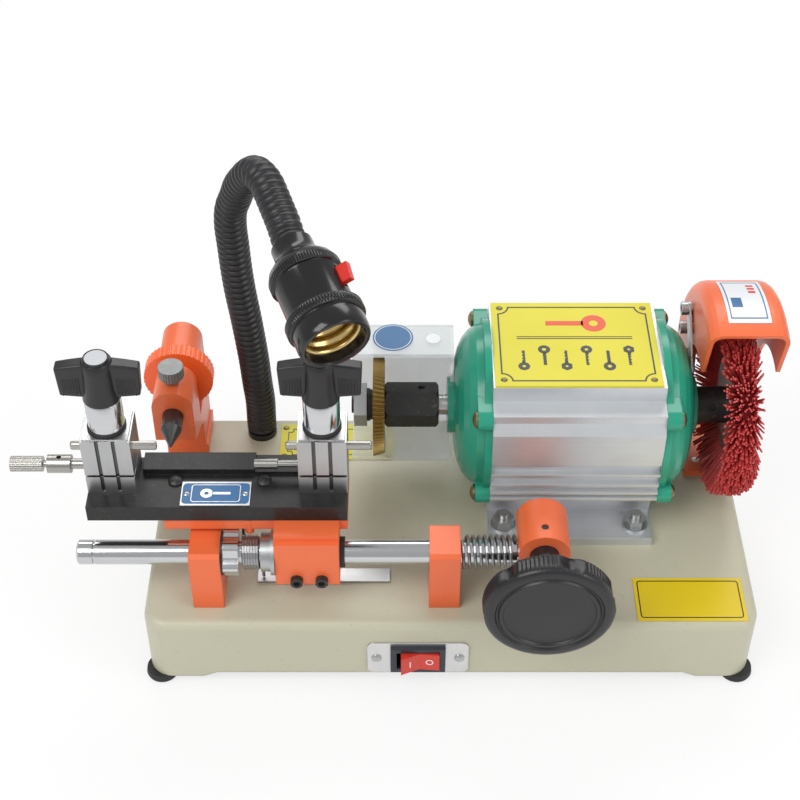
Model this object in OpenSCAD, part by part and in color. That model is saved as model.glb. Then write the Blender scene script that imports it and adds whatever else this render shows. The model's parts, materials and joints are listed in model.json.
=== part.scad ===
// Key duplicating machine: a motor drives a cutter and a deburring brush, and a
// tilting, sliding carriage carries two vises past a tracer and the cutter.
// X runs to the right, Y to the back, Z up. The sizes below count from the middle of
// the base. at_origin() then moves all to the bottom centre of the whole machine.

/* [Base] */
// Width of the base casting
base_w = 350; // [340:1:400]
// Depth of the base casting
base_d = 170; // [166:1:200]
// Height of the base casting without its feet
base_h = 46; // [40:1:60]
// Wall of the base casting
base_wall = 5; // [3:0.5:8]
// Radius of the upright corners of the base
base_corner_r = 14; // [10:1:20]
// Radius of the top edge of the base
base_edge_r = 5; // [2:0.5:8]
// Rise of the lower edge between the corner pads
base_notch = 3.5; // [1:0.5:6]
// Height of the rubber feet
foot_h = 6; // [4:0.5:12]
// Diameter of the rubber feet
foot_d = 19; // [14:1:24]

/* [Power switch] */
// Width of the switch plate
switch_plate_w = 58; // [54:1:70]
// Height of the switch plate
switch_plate_h = 26; // [24:1:30]
// Width of the switch frame
switch_w = 31.5; // [26:0.5:36]
// Height of the switch frame
switch_h = 20.5; // [16:0.5:22]
// Place of the switch plate along the front
switch_x = -18.6; // [-60:1:40]
// Angle of the rocker at rest
rocker_tilt = 9; // [4:1:14]

/* [Motor] */
// Height of the motor axis above the base top
motor_axis_h = 63; // [60:1:75]
// Gap between the motor foot and the rear edge of the base
motor_inset = 0.5; // [0:0.5:6]
// Left end of the finned housing
housing_x = 23; // [15:1:30]
// Length of the finned housing
housing_l = 96.5; // [80:0.5:110]
// Bore radius of the finned housing
housing_bore_r = 43; // [40:0.5:44]
// Half width of the flat on top of the housing
housing_flat = 36; // [30:1:38]
// Radius of the end bell flange
bell_r = 51; // [49:0.5:53]
// Depth of an end bell
bell_depth = 20.6; // [18:0.1:24]
// Thickness of the bell wall
bell_wall = 4; // [3:0.5:5]
// Radius of the motor shaft
motor_shaft_r = 6; // [5:0.5:7]
// Outer radius of the ball bearings
bearing_r = 16; // [14:0.5:17]
// Width of the ball bearings
bearing_w = 10; // [8:0.5:11]
// Depth of the motor foot from front to back
motor_foot_d = 109; // [100:1:112]
// Thickness of the motor foot
motor_foot_t = 6; // [4:0.5:8]
// Spacing of the foot bolts along the motor
foot_bolt_x = 78; // [70:1:86]
// Spacing of the foot bolts across the motor
foot_bolt_y = 86; // [80:1:94]
// Width of the label plate on the motor
motor_plate_w = 93.5; // [80:0.5:95]
// Depth of the label plate on the motor
motor_plate_d = 72; // [60:0.5:72]
// Thickness of the label plates
plate_t = 1.2; // [0.8:0.1:2]

/* [Cutter] */
// Radius of the cutter at its large face
cutter_r = 30.5; // [27:0.5:31]
// Radius of the cutter at its small face
cutter_small_r = 24.2; // [20:0.1:26]
// Width of the cutter
cutter_w = 6.6; // [5:0.1:9]
// Gap between the left bell and the cutter arbor
arbor_gap = 5.1; // [3:0.1:9]
// Length of the hexagonal arbor
arbor_l = 31.6; // [26:0.1:36]
// Corner radius of the hexagonal arbor
arbor_r = 13.2; // [12:0.1:14]
// Radius of the arbor spigot that carries the cutter
spigot_r = 5; // [4:0.5:6]
// Width of the black washers beside the cutter
cutter_washer_w = 3.8; // [2:0.1:5]
// Corner radius of the cutter nut
cutter_nut_r = 12.7; // [11:0.1:13.5]
// Width of the cutter nut
cutter_nut_w = 7.5; // [5:0.5:9]

/* [Brush] */
// Outer radius of the brush
brush_r = 55; // [45:1:56]
// Radius of the brush hub
brush_hub_r = 10.8; // [9:0.1:12]
// Length of the brush hub up to its first disc
brush_hub_l = 19.2; // [18:0.1:22]
// Radius of the steel brush discs
brush_disc_r = 30; // [24:1:34]
// Width of the bristle pack between the discs
bristle_root_w = 8; // [5:0.5:11]
// Spread of the bristles at the rim
bristle_rim_w = 31; // [16:1:32]
// Outer radius of the brush guard
guard_r = 73; // [70:0.5:76]
// Width of the brush guard
guard_w = 45; // [42:0.5:48]
// Depth of the guard's side walls
guard_side = 37; // [28:1:40]
// Sheet thickness of the guard
guard_t = 2.5; // [1.5:0.1:3]
// Angle of the guard's front lip, up from the rear
guard_front_a = 106; // [95:1:115]
// Angle of the guard's rear edge
guard_rear_a = -6; // [-15:1:5]

/* [Chip shield] */
// Height of the shield roof above the motor axis
shield_up = 36; // [33:0.5:40]
// Depth of the shield floor below the motor axis
shield_down = 36; // [33:0.5:40]
// Distance of the shield's rear wall behind the motor axis
shield_back = 35; // [33:0.5:40]
// Length of the shield along the spindle
shield_l = 60; // [54:1:64]
// Sheet thickness of the shield
shield_t = 2.2; // [1.5:0.1:3]

/* [Tracer] */
// Radius of the tracer bar
tracer_bar_r = 6; // [5:0.1:7]
// Width of the tracer bracket
tracer_w = 24; // [20:0.5:28]
// Radius of the knurled tracer dial
dial_r = 20.7; // [18:0.1:23]
// Width of the knurled tracer dial
dial_w = 9; // [7:0.5:10]
// Front face of the tracer bracket, from the middle of the base
tracer_front_y = 20; // [15:1:24]

/* [Carriage] */
// Distance of the carriage shaft in front of the middle of the base
shaft_front = 59; // [57:0.5:61]
// Height of the carriage shaft above the base top
shaft_up = 33; // [31:0.5:36]
// Radius of the carriage shaft
shaft_r = 7; // [6:0.1:7.5]
// Length of the carriage shaft to the left of the left pillar
shaft_tail = 63.3; // [50:0.1:70]
// Width of a shaft pillar
pillar_w = 17.4; // [14:0.1:20]
// Depth of a shaft pillar
pillar_d = 26; // [22:1:28]
// Right face of the left pillar, left of the middle of the base
pillar_left_x = 128.8; // [124:0.1:134]
// Left face of the right pillar, left of the middle of the base
pillar_right_x = 12.5; // [8:0.1:14]
// Length of the clamp block on the shaft
clamp_l = 36; // [32:0.5:38]
// Travel of the carriage along the shaft
carriage_travel = 44; // [36:1:45]
// Length of the jaw bed
bed_l = 144; // [141:0.5:150]
// Depth of the jaw bed
bed_d = 39; // [36:0.5:42]
// Thickness of the jaw bed
bed_t = 10.5; // [8:0.5:12]
// Right end of the jaw bed, left of the middle of the base
bed_right_x = 58; // [56:0.5:60]
// Front of the jaw bed, ahead of the middle of the base
bed_front = 55; // [53:0.5:56]
// Width of a vise jaw
jaw_w = 27; // [24:0.5:28]
// Depth of a vise jaw
jaw_d = 25; // [22:0.5:26]
// Height of the lower jaws
jaw_low_h = 13.8; // [11:0.1:16]
// Height of the upper jaws
jaw_up_h = 26; // [20:0.5:28]
// Setback of the jaws from the front of the bed
jaw_setback = 10.8; // [9:0.1:12]
// Radius of the vise studs
stud_r = 4; // [3:0.5:5]
// Radius of the chrome sleeve under a wing knob
sleeve_r = 10; // [8:0.5:11]
// Visible height of the chrome sleeve
sleeve_h = 18; // [14:0.5:22]
// Height of the wing knob
wing_h = 30; // [24:1:34]
// Span of the wings
wing_span = 45; // [36:0.5:46]
// Radius of the wing knob's boss
wing_boss_r = 8.8; // [7.5:0.1:9.5]

/* [Lever and knob] */
// Distance of the lever hub's axis right of the middle of the base
lever_x = 51.4; // [50:0.1:54]
// Radius of the lever hub
lever_r = 14.5; // [13:0.1:15]
// Length of the lever hub
lever_l = 30; // [27:0.5:33]
// Rise of the lever hub's axis above the shaft
lever_rise = 6.3; // [5:0.1:7]
// Radius of the feed knob
knob_r = 36; // [30:0.5:38]
// Thickness of the feed knob
knob_t = 17.7; // [14:0.1:20]
// Length of the stem between the hub and the feed knob
knob_stem_l = 28; // [24:0.5:34]

/* [Springs] */
// Wire radius of the torsion spring
torsion_wire_r = 0.9; // [0.6:0.05:1]
// Turns of the torsion spring
torsion_turns = 6; // [4:1:6]
// Wire radius of the buffer spring
buffer_wire_r = 0.9; // [0.6:0.05:1.2]
// Turns of the buffer spring
buffer_turns = 9; // [6:1:11]
// Middle radius of both springs' coils
spring_r = 9; // [8.8:0.1:9.6]

/* [Lamp] */
// Outer radius of the gooseneck hose
hose_r = 9.3; // [8:0.1:10]
// Radius of the lamp holder's body
holder_r = 18.6; // [17:0.1:20]
// Length of the lamp holder
holder_l = 65.5; // [60:0.5:72]

/* [Fits] */
// Radial clearance of a shaft in its bore
run_fit = 0.05; // [0.02:0.01:0.1]
// Radial clearance of a screw in its hole
screw_fit = 0.2; // [0.1:0.05:0.4]
// Gap between parts that move past each other
gap = 0.4; // [0.3:0.05:0.6]

/* [Hidden] */
$fn = 48;
hull_fn = 32;

// ---- heights and axes that several parts share
base_top = foot_h + base_h;
base_floor = foot_h;
motor_z = base_top + motor_axis_h;
motor_y = base_d / 2 - motor_inset - motor_foot_d / 2;
// The vises stand at the ends of the bed, as far apart as tracer and cutter
pitch_x = bed_l - jaw_w;
shaft_y = -shaft_front;
shaft_z = base_top + shaft_up;
housing_end = housing_x + housing_l;
bell_left_x = housing_x - bell_depth;
bell_right_x = housing_end + bell_depth;
boss_r = 16.5;
boss_t = 4.1;
boss_left_x = bell_left_x - boss_t + 0.5;
boss_right_x = bell_right_x + boss_t - 0.5;
arbor_x1 = boss_left_x - arbor_gap;
arbor_x0 = arbor_x1 - arbor_l;
cutter_x = arbor_x0 - cutter_w;
washer_x = cutter_x - cutter_washer_w;
nut_x = washer_x - cutter_nut_w;
hub_x = boss_right_x + 0.4;
disc_x = hub_x + brush_hub_l;
guard_x = bell_right_x + 2.5;

// ---- helpers
module rod_x(r, x0, x1, y, z) { translate([x0, y, z]) rotate([0, 90, 0]) cylinder(r = r, h = x1 - x0); }
module rod_y(r, y0, y1, x, z) { translate([x, y0, z]) rotate([-90, 0, 0]) cylinder(r = r, h = y1 - y0); }
module rod_z(r, z0, z1, x, y) { translate([x, y, z0]) cylinder(r = r, h = z1 - z0); }
module block(lo, hi) { translate(lo) cube(hi - lo); }
module hex_x(r, x0, x1, y, z, turn) {
    translate([x0, y, z]) rotate([turn, 0, 0]) rotate([0, 90, 0]) cylinder(r = r, h = x1 - x0, $fn = 6);
}
// A flat plate with rounded corners: size in X and Y, lying on z = 0
module round_rect(w, d, r) {
    square([w - 2 * r, d], center = true);
    square([w, d - 2 * r], center = true);
    for (sx = [-1, 1], sy = [-1, 1]) translate([sx * (w / 2 - r), sy * (d / 2 - r)]) circle(r = r);
}
// Turns a profile of [radius, x] points about an axis along X
module turned_x(points, y, z) {
    translate([0, y, z]) rotate([0, 90, 0]) rotate([0, 0, 180]) rotate_extrude() polygon(points);
}
// Pan head screw along +Z, head seated on z = 0
module pan_screw(r, len) {
    translate([0, 0, -len]) cylinder(r = r, h = len);
    intersection() {
        cylinder(r = 1.9 * r, h = 1.2 * r);
        translate([0, 0, -1.5 * r]) sphere(r = 2.7 * r);
    }
}
// Socket head cap screw along +Z, head seated on z = 0
module socket_screw(r, len) {
    translate([0, 0, -len]) cylinder(r = r, h = len + 0.01);
    difference() {
        cylinder(r = 1.6 * r, h = 1.6 * r);
        translate([0, 0, 0.8 * r]) cylinder(r = r, h = r, $fn = 6);
    }
}

// ---- base
foot_x = base_w / 2 - 7;
foot_y = base_d / 2 - 8;
foot_stem_r = 2.5;
pad_h = 12;
notch_run = 8;
screw_r = 2.5;
under_screw_len = 14;
pillar_left_c = -pillar_left_x - pillar_w / 2;
pillar_right_c = -pillar_right_x + pillar_w / 2;
tracer_x = cutter_x - pitch_x;
tracer_back_y = base_d / 2 - 1;
tracer_leg_y = tracer_back_y - 32;
tracer_screws_y = [tracer_leg_y + 9, tracer_back_y - 12];
guard_post_x = guard_x + guard_t + 0.5;
guard_post_w = 2.5;
guard_foot_w = 15;
guard_foot_t = 4;
post_rear_y = base_d / 2 - 5;
post_front_y = post_rear_y - 32;
guard_foot_y = post_rear_y - 47;
under_screws = [[pillar_left_c, shaft_y - 7], [pillar_left_c, shaft_y + 7],
    [pillar_right_c, shaft_y - 7], [pillar_right_c, shaft_y + 7],
    for (y = tracer_screws_y) [tracer_x, y]];
guard_screws = [[guard_post_x + guard_foot_w / 2 + 1, guard_foot_y + 10],
    [guard_post_x + guard_foot_w / 2 + 1, base_d / 2 - 14]];
switch_z = foot_h + 18.3;
switch_screw_x = switch_plate_w / 2 - 5.2;
hose_foot = [-116, base_d / 2 - 13];
hose_stub_r = 5;
hose_stub_h = 4;
gland_x = 60;
gland_z = foot_h + 20;
gland_r = 7;
capacitor_r = 16;
capacitor_l = 60;

module base_corner(h, r, edge) {
    rotate_extrude($fn = hull_fn) polygon(concat([[0, 0], [r, 0]],
        [for (a = [0:22.5:90]) [r - edge + edge * cos(a), h - edge + edge * sin(a)]], [[0, h]]));
}
module base_block(w, d, h, r, edge) {
    hull() for (sx = [-1, 1], sy = [-1, 1])
        translate([sx * (w / 2 - r), sy * (d / 2 - r), 0]) base_corner(h, r, edge);
}
module notch_prism(len, depth) {
    rotate([90, 0, 0]) linear_extrude(depth, center = true)
        polygon([[-len / 2, -1], [len / 2, -1], [len / 2, 0],
            [len / 2 - notch_run, base_notch], [notch_run - len / 2, base_notch], [-len / 2, 0]]);
}
module base_casting() {
    cavity_r = base_corner_r - base_wall + 1;
    color("#BDBBA4") at_origin() difference() {
        union() {
            difference() {
                translate([0, 0, base_floor]) base_block(base_w, base_d, base_h, base_corner_r,
                    base_edge_r);
                translate([0, 0, base_floor - 1]) base_block(base_w - 2 * base_wall,
                    base_d - 2 * base_wall,
                    base_h - base_wall + 1, cavity_r, 2);
            }
            intersection() {
                block([-base_w / 2, -base_d / 2, base_floor], [base_w / 2, base_d / 2,
                    base_floor + pad_h]);
                for (sx = [-1, 1], sy = [-1, 1]) translate([sx * (base_w / 2 - base_corner_r),
                    sy * (base_d / 2 - base_corner_r), base_floor]) cylinder(r = base_corner_r - 0.5,
                        h = pad_h);
            }
        }
        translate([0, 0, base_floor]) notch_prism(base_w - 64, base_d + 2);
        translate([0, 0, base_floor]) rotate([0, 0, 90]) notch_prism(base_d - 56, base_w + 2);
        for (sx = [-1, 1], sy = [-1, 1])
            rod_z(foot_stem_r + screw_fit, base_floor - 1, base_floor + 9, sx * foot_x, sy * foot_y);
        for (p = under_screws) rod_z(screw_r + screw_fit, base_top - base_wall - 1, base_top + 1, p[0],
            p[1]);
        for (p = guard_screws) rod_z(screw_r + screw_fit, base_top - base_wall - 1, base_top + 1, p[0],
            p[1]);
        for (p = foot_bolts()) rod_z(foot_bolt_r + screw_fit, base_top - base_wall - 1, base_top + 1,
            p[0], p[1]);
        rod_z(hose_stub_r + screw_fit, base_top - base_wall - 1, base_top + 1, hose_foot[0],
            hose_foot[1]);
        rod_y(gland_r, base_d / 2 - base_wall - 1, base_d / 2 + 1, gland_x, gland_z);
        block([switch_x - switch_body_w / 2, -base_d / 2 - 1, switch_z - switch_body_h / 2],
            [switch_x + switch_body_w / 2, -base_d / 2 + base_wall + 1, switch_z + switch_body_h / 2]);
        for (s = [-1, 1])
            rod_y(screw_r * 0.6 + screw_fit, -base_d / 2 - 1, -base_d / 2 + base_wall + 1,
                switch_x + s * switch_screw_x, switch_z);
    }
}
module rubber_feet() {
    lip = 2;
    color("#1B1B1C") at_origin() for (sx = [-1, 1], sy = [-1, 1]) translate([sx * foot_x, sy * foot_y, 0]) {
        rotate_extrude() polygon([[0, 0], [foot_d / 2 - lip, 0], [foot_d / 2 - 0.5, 1.2],
            [foot_d / 2, lip + 0.6], [foot_d / 2 - 0.6, foot_h], [0, foot_h]]);
        cylinder(r = foot_stem_r, h = foot_h + 8);
    }
}

// ---- power switch on the front face
switch_body_w = switch_w - 4;
switch_body_h = switch_h - 4;
bezel_t = 2.4;
rocker_w = switch_w - 8;
rocker_h = switch_h - 7;
rocker_r = 12;
module switch_plate() {
    color("#C9CACC") at_origin() difference() {
        translate([switch_x, -base_d / 2, switch_z]) rotate([90, 0, 0]) linear_extrude(plate_t)
            round_rect(switch_plate_w, switch_plate_h, 4);
        block([switch_x - switch_body_w / 2 - 0.3, -base_d / 2 - plate_t - 1,
            switch_z - switch_body_h / 2 - 0.3],
            [switch_x + switch_body_w / 2 + 0.3, -base_d / 2 + 1, switch_z + switch_body_h / 2 + 0.3]);
        for (s = [-1, 1]) rod_y(screw_r * 0.6 + screw_fit, -base_d / 2 - plate_t - 1, -base_d / 2 + 1,
            switch_x + s * switch_screw_x, switch_z);
    }
}
module switch_body() {
    face = -base_d / 2 - plate_t;
    depth = 20;
    tab_w = 6;
    color("#262A33") at_origin() difference() {
        union() {
            block([switch_x - switch_w / 2, face - bezel_t, switch_z - switch_h / 2],
                [switch_x + switch_w / 2, face, switch_z + switch_h / 2]);
            block([switch_x - switch_body_w / 2 + 0.2, face - 0.01, switch_z - switch_body_h / 2 + 0.2],
                [switch_x + switch_body_w / 2 - 0.2, face + depth, switch_z + switch_body_h / 2 - 0.2]);
        }
        block([switch_x - rocker_w / 2 - gap, face - bezel_t - 1, switch_z - rocker_h / 2 - gap],
            [switch_x + rocker_w / 2 + gap, face + 12, switch_z + rocker_h / 2 + gap]);
    }
    color("#B08D57") at_origin() for (s = [-1, 0, 1])
        block([switch_x + s * 8 - 0.4, face + depth, switch_z - tab_w / 2],
            [switch_x + s * 8 + 0.4, face + depth + 7, switch_z + tab_w / 2]);
}
// The rocker is a shallow V in plan that turns on an upright pin
module switch_rocker() {
    face = -base_d / 2 - plate_t;
    half = rocker_w / 2 - 0.6;
    color("#D8331F") at_origin() translate([switch_x, face + 2.5, switch_z - rocker_h / 2])
        rotate([0, 0, rocker_tilt]) linear_extrude(rocker_h)
            polygon([[-half, -8.2], [0, -5.4], [half, -8.2], [half - 1, -1], [0, 4], [1 - half, -1]]);
}
module base_screws() {
    under = base_top - base_wall;
    color("#8E8F91") at_origin() {
        for (p = under_screws) translate([p[0], p[1], under]) rotate([180, 0, 0])
            pan_screw(screw_r, under_screw_len);
        for (p = guard_screws) translate([p[0], p[1], under]) rotate([180, 0, 0])
            pan_screw(screw_r, base_wall + guard_foot_t);
    }
    color("#B9A870") at_origin() for (s = [-1, 1])
        translate([switch_x + s * switch_screw_x, -base_d / 2 - plate_t, switch_z]) rotate([90, 0, 0])
            pan_screw(screw_r * 0.6, 8);
}
module cord_gland() {
    back = base_d / 2;
    color("#1D1D1E") at_origin() difference() {
        union() {
            rod_y(gland_r - screw_fit, back - base_wall - 4, back + 0.01, gland_x, gland_z);
            rod_y(gland_r + 3, back, back + 4, gland_x, gland_z);
            translate([gland_x, back + 4, gland_z]) rotate([-90, 0, 0])
                rotate_extrude() polygon([[0, -0.01], [gland_r, -0.01], [gland_r - 1.5, 7], [0, 7]]);
        }
        rod_y(3.4, back - base_wall - 6, back + 12, gland_x, gland_z);
    }
}
module run_capacitor() {
    top = base_top - base_wall;
    x0 = -110;
    y0 = 10;
    color("#D9D9D6") at_origin() rod_x(capacitor_r, x0, x0 + capacitor_l, y0, top - capacitor_r - 0.3);
    color("#D9D9D6") at_origin() difference() {
        block([x0 + 24, y0 - capacitor_r - 3, top - capacitor_r], [x0 + 36, y0 + capacitor_r + 3, top]);
        rod_x(capacitor_r + 0.3, x0 - 1, x0 + capacitor_l + 1, y0, top - capacitor_r - 0.3);
    }
}

// ---- motor
housing_top = housing_bore_r + 3;
fin_out = housing_bore_r + 7.5;
fin_in = fin_out - 3.2;
fin_t = 1.8;
fin_z = [1, -8, -16, -22.5, -27.2, -30.6];
lug_y = housing_bore_r + 0.5;
lug_z = 29;
lug_r = 6.2;
lug_l = 8.5;
bell_flange_t = 4.2;
bell_screw_len = 20;
foot_bolt_r = 3;
housing_mid = housing_x + housing_l / 2;
winding_r = housing_bore_r - 3;
stator_l = 58;
rotor_r = 26;
function foot_bolts() = [for (sx = [-1, 1], sy = [-1, 1])
    [housing_mid + sx * foot_bolt_x / 2, motor_y + sy * foot_bolt_y / 2]];
function flip(points) = [for (i = [len(points) - 1:-1:0]) [-points[i][0], points[i][1]]];

// Half outline of the finned extrusion, from the top down to the foot
function housing_half() = concat(
    [[0, housing_top], [housing_flat, housing_top], [housing_flat + 0.5, housing_top - 9.5],
        [housing_flat + 11.2, housing_top - 11.5], [housing_flat + 11.2, housing_top - 16.5], [fin_out, 22.5]],
    [for (i = [0:4]) each [[fin_out, fin_z[i]], [fin_out, fin_z[i] - fin_t],
        [fin_in, fin_z[i] - fin_t - 0.6], [fin_in, fin_z[i + 1] + 0.6]]],
    [[36, -housing_bore_r + 1], [32, motor_foot_t - motor_axis_h],
        [motor_foot_d / 2, motor_foot_t - motor_axis_h], [motor_foot_d / 2, -motor_axis_h],
        [26, -motor_axis_h], [26, 9 - motor_axis_h], [20, -housing_top], [0, -housing_top]]);

module motor_housing() {
    color("#C6C9CC") at_origin() difference() {
        translate([housing_x, motor_y, motor_z]) rotate([90, 0, 90]) linear_extrude(housing_l)
            polygon(concat(housing_half(), flip(housing_half())));
        rod_x(housing_bore_r, housing_x - 1, housing_end + 1, motor_y, motor_z);
        for (sy = [-1, 1], sz = [-1, 1])
            rod_x(screw_r + screw_fit, housing_x - 1, housing_end + 1, motor_y + sy * lug_y,
                motor_z + sz * lug_z);
        for (p = foot_bolts()) rod_z(foot_bolt_r + screw_fit, base_top - 1, base_top + 12, p[0], p[1]);
    }
}
module motor_stator() {
    x0 = housing_mid - stator_l / 2;
    color("#55585C") at_origin() difference() {
        rod_x(housing_bore_r - run_fit, x0, x0 + stator_l, motor_y, motor_z);
        rod_x(rotor_r + 0.6, x0 - 1, x0 + stator_l + 1, motor_y, motor_z);
    }
    color("#A8642C") at_origin() for (x = [x0 - 8, x0 + stator_l])
        turned_x([[rotor_r + 3, x], [winding_r, x], [winding_r, x + 8], [rotor_r + 3, x + 8]], motor_y,
            motor_z);
}
module motor_rotor() {
    x0 = housing_mid - stator_l / 2;
    color("#8C8F92") at_origin() rod_x(motor_shaft_r, arbor_x1 - 17, hub_end_x + 3, motor_y, motor_z);
    color("#6E7276") at_origin() difference() {
        rod_x(rotor_r, x0, x0 + stator_l, motor_y, motor_z);
        rod_x(motor_shaft_r, x0 - 1, x0 + stator_l + 1, motor_y, motor_z);
    }
}
module motor_bearings() {
    for (x = [bell_left_x + bell_wall, bell_right_x - bell_wall - bearing_w])
        color("#9FA3A6") at_origin() turned_x([[motor_shaft_r + run_fit, x], [bearing_r, x], [bearing_r, x + bearing_w],
            [motor_shaft_r + run_fit, x + bearing_w]], motor_y, motor_z);
}
// An end bell along its own axis: the flange face is at x = 0
module end_bell_shape() {
    dome = bell_depth - bell_flange_t;
    nose = 20;
    rim = bell_r - 3.2;
    difference() {
        union() {
            turned_x(concat([[0, 0], [bell_r, 0], [bell_r, bell_flange_t], [rim, bell_flange_t]],
                [for (a = [75:-15:15]) [nose + (rim - nose) * sin(a), bell_flange_t + dome * cos(a)]],
                [[nose, bell_depth], [boss_r, bell_depth], [boss_r, bell_depth + boss_t - 0.5],
                    [0, bell_depth + boss_t - 0.5]]), 0, 0);
            for (sy = [-1, 1], sz = [-1, 1]) {
                rod_x(lug_r, 0, lug_l, sy * lug_y, sz * lug_z);
                block([0, min(0, sy * lug_y), sz * lug_z - lug_r], [lug_l, max(0, sy * lug_y),
                    sz * lug_z + lug_r]);
            }
        }
        difference() {
            turned_x(concat([[0, -1], [rim - bell_wall, -1], [rim - bell_wall, bell_flange_t]],
                [for (a = [75:-15:15]) [nose + (rim - bell_wall - nose) * sin(a),
                    bell_flange_t + (dome - bell_wall) * cos(a)]],
                [[nose, bell_depth - bell_wall], [0, bell_depth - bell_wall]]), 0, 0);
            rod_x(bearing_r + 3.5, bell_depth - bell_wall - bearing_w - 1, bell_depth, 0, 0);
        }
        rod_x(bearing_r + run_fit, -1, bell_depth - bell_wall, 0, 0);
        rod_x(motor_shaft_r + 1, -1, bell_depth + boss_t, 0, 0);
        for (sy = [-1, 1], sz = [-1, 1])
            rod_x(screw_r + screw_fit, -1, lug_l + 1, sy * lug_y, sz * lug_z);
    }
}
module end_bell_left() {
    color("#2E9C80") at_origin() difference() {
        translate([housing_x, motor_y, motor_z]) mirror([1, 0, 0]) end_bell_shape();
        for (a = shield_screw_a) translate([bell_left_x, motor_y, motor_z]) rotate([a, 0, 0])
            rod_x(1.5 + screw_fit, -1, bell_wall + 1, shield_screw_r, 0);
    }
}
module end_bell_right() {
    color("#2E9C80") at_origin() translate([housing_end, motor_y, motor_z]) difference() {
        end_bell_shape();
        rod_x(link_screw_r + screw_fit, bell_depth - link_screw_depth - 1, bell_depth + 1,
            link_foot[0], link_foot[1]);
    }
}
module hex_nut(r, h, hole) {
    difference() {
        cylinder(r = r, h = h, $fn = 6);
        translate([0, 0, -1]) cylinder(r = hole, h = h + 2);
    }
}
module motor_fasteners() {
    head_gap = 0;
    color("#B9BDC0") at_origin() {
        for (sy = [-1, 1], sz = [-1, 1]) {
            translate([housing_x - lug_l - head_gap, motor_y + sy * lug_y, motor_z + sz * lug_z])
                rotate([0, -90, 0]) pan_screw(screw_r, bell_screw_len);
            translate([housing_end + lug_l + head_gap, motor_y + sy * lug_y, motor_z + sz * lug_z])
                rotate([0, 90, 0]) pan_screw(screw_r, bell_screw_len);
        }
        for (p = foot_bolts()) translate([p[0], p[1], base_top + motor_foot_t]) {
            difference() {
                cylinder(r = 7.5, h = 1.4);
                translate([0, 0, -1]) cylinder(r = foot_bolt_r + screw_fit, h = 4);
            }
            translate([0, 0, 1.4]) hex_nut(6.4, 5, foot_bolt_r + run_fit);
            translate([0, 0, -motor_foot_t - base_wall]) cylinder(r = foot_bolt_r,
                h = motor_foot_t + base_wall + 10);
            translate([0, 0, -motor_foot_t - base_wall - 4]) cylinder(r = 5.8, h = 4, $fn = 6);
        }
    }
}

// ---- label plates and their rivets
base_plate = [71, 31];
base_plate_c = [-68.5, base_d / 2 - 23];
front_label = [62.5, 31.5];
front_label_c = [base_w / 2 - 38.2, 19 - base_d / 2];
rivet_r = 1.3;
motor_plate_c = [housing_x + 1 + motor_plate_w / 2, motor_y + 0.6];
function corners(c, w, d, inset) = [for (sx = [-1, 1], sy = [-1, 1])
    [c[0] + sx * (w / 2 - inset), c[1] + sy * (d / 2 - inset)]];
motor_rivets = corners(motor_plate_c, motor_plate_w, motor_plate_d, 5);
base_rivets = corners(base_plate_c, base_plate[0], base_plate[1], 3);
module rivet(len) {
    translate([0, 0, -len]) cylinder(r = rivet_r, h = len);
    intersection() {
        cylinder(r = 2, h = 0.8);
        translate([0, 0, -2]) sphere(r = 2.8);
    }
}
module label_plates() {
    color("#DCD035") at_origin() difference() {
        union() {
            translate([motor_plate_c[0] - motor_plate_w / 2, motor_plate_c[1] - motor_plate_d / 2,
                motor_z + housing_top]) cube([motor_plate_w, motor_plate_d, plate_t]);
            translate([base_plate_c[0] - base_plate[0] / 2, base_plate_c[1] - base_plate[1] / 2,
                base_top])
                cube([base_plate[0], base_plate[1], plate_t * 0.6]);
        }
        for (p = motor_rivets) rod_z(rivet_r + 0.1, motor_z + housing_top - 1,
            motor_z + housing_top + 3, p[0], p[1]);
        for (p = base_rivets) rod_z(rivet_r + 0.1, base_top - 1, base_top + 3, p[0], p[1]);
    }
    color("#D9BE1C") at_origin() translate([front_label_c[0] - front_label[0] / 2, front_label_c[1] - front_label[1] / 2,
        base_top]) cube([front_label[0], front_label[1], plate_t * 0.3]);
}
module plate_rivets() {
    color("#8F8A5A") at_origin() {
        for (p = motor_rivets) translate([p[0], p[1], motor_z + housing_top + plate_t]) rivet(plate_t);
        for (p = base_rivets) translate([p[0], p[1], base_top + plate_t * 0.6]) rivet(plate_t * 0.6);
    }
}

// ---- cutter side of the spindle
hex_turn = 17;
arbor_screw_a = 77;
hub_screw_a = 146;
set_screw_r = 2;
module cutter_arbor() {
    chamfer = 1.6;
    color("#1E1D1D") at_origin() difference() {
        union() {
            intersection() {
                hex_x(arbor_r, arbor_x0, arbor_x1, motor_y, motor_z, hex_turn);
                turned_x([[0, arbor_x0], [arbor_r - chamfer, arbor_x0], [arbor_r + 0.1,
                    arbor_x0 + chamfer],
                    [arbor_r + 0.1, arbor_x1 - chamfer], [arbor_r - chamfer, arbor_x1], [0, arbor_x1]],
                    motor_y, motor_z);
            }
            rod_x(spigot_r, nut_x - 1.5, arbor_x0 + 1, motor_y, motor_z);
        }
        rod_x(motor_shaft_r + run_fit, arbor_x1 - 17.5, arbor_x1 + 1, motor_y, motor_z);
        translate([arbor_x1 - 10, motor_y, motor_z]) rotate([arbor_screw_a, 0, 0])
            rod_y(set_screw_r + run_fit, motor_shaft_r - 1, arbor_r + 1, 0, 0);
    }
}
module cutter_wheel() {
    color("#8C6928") at_origin() turned_x([[spigot_r + run_fit, cutter_x], [cutter_r, cutter_x],
        [cutter_small_r, arbor_x0], [spigot_r + run_fit, arbor_x0]], motor_y, motor_z);
}
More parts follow.
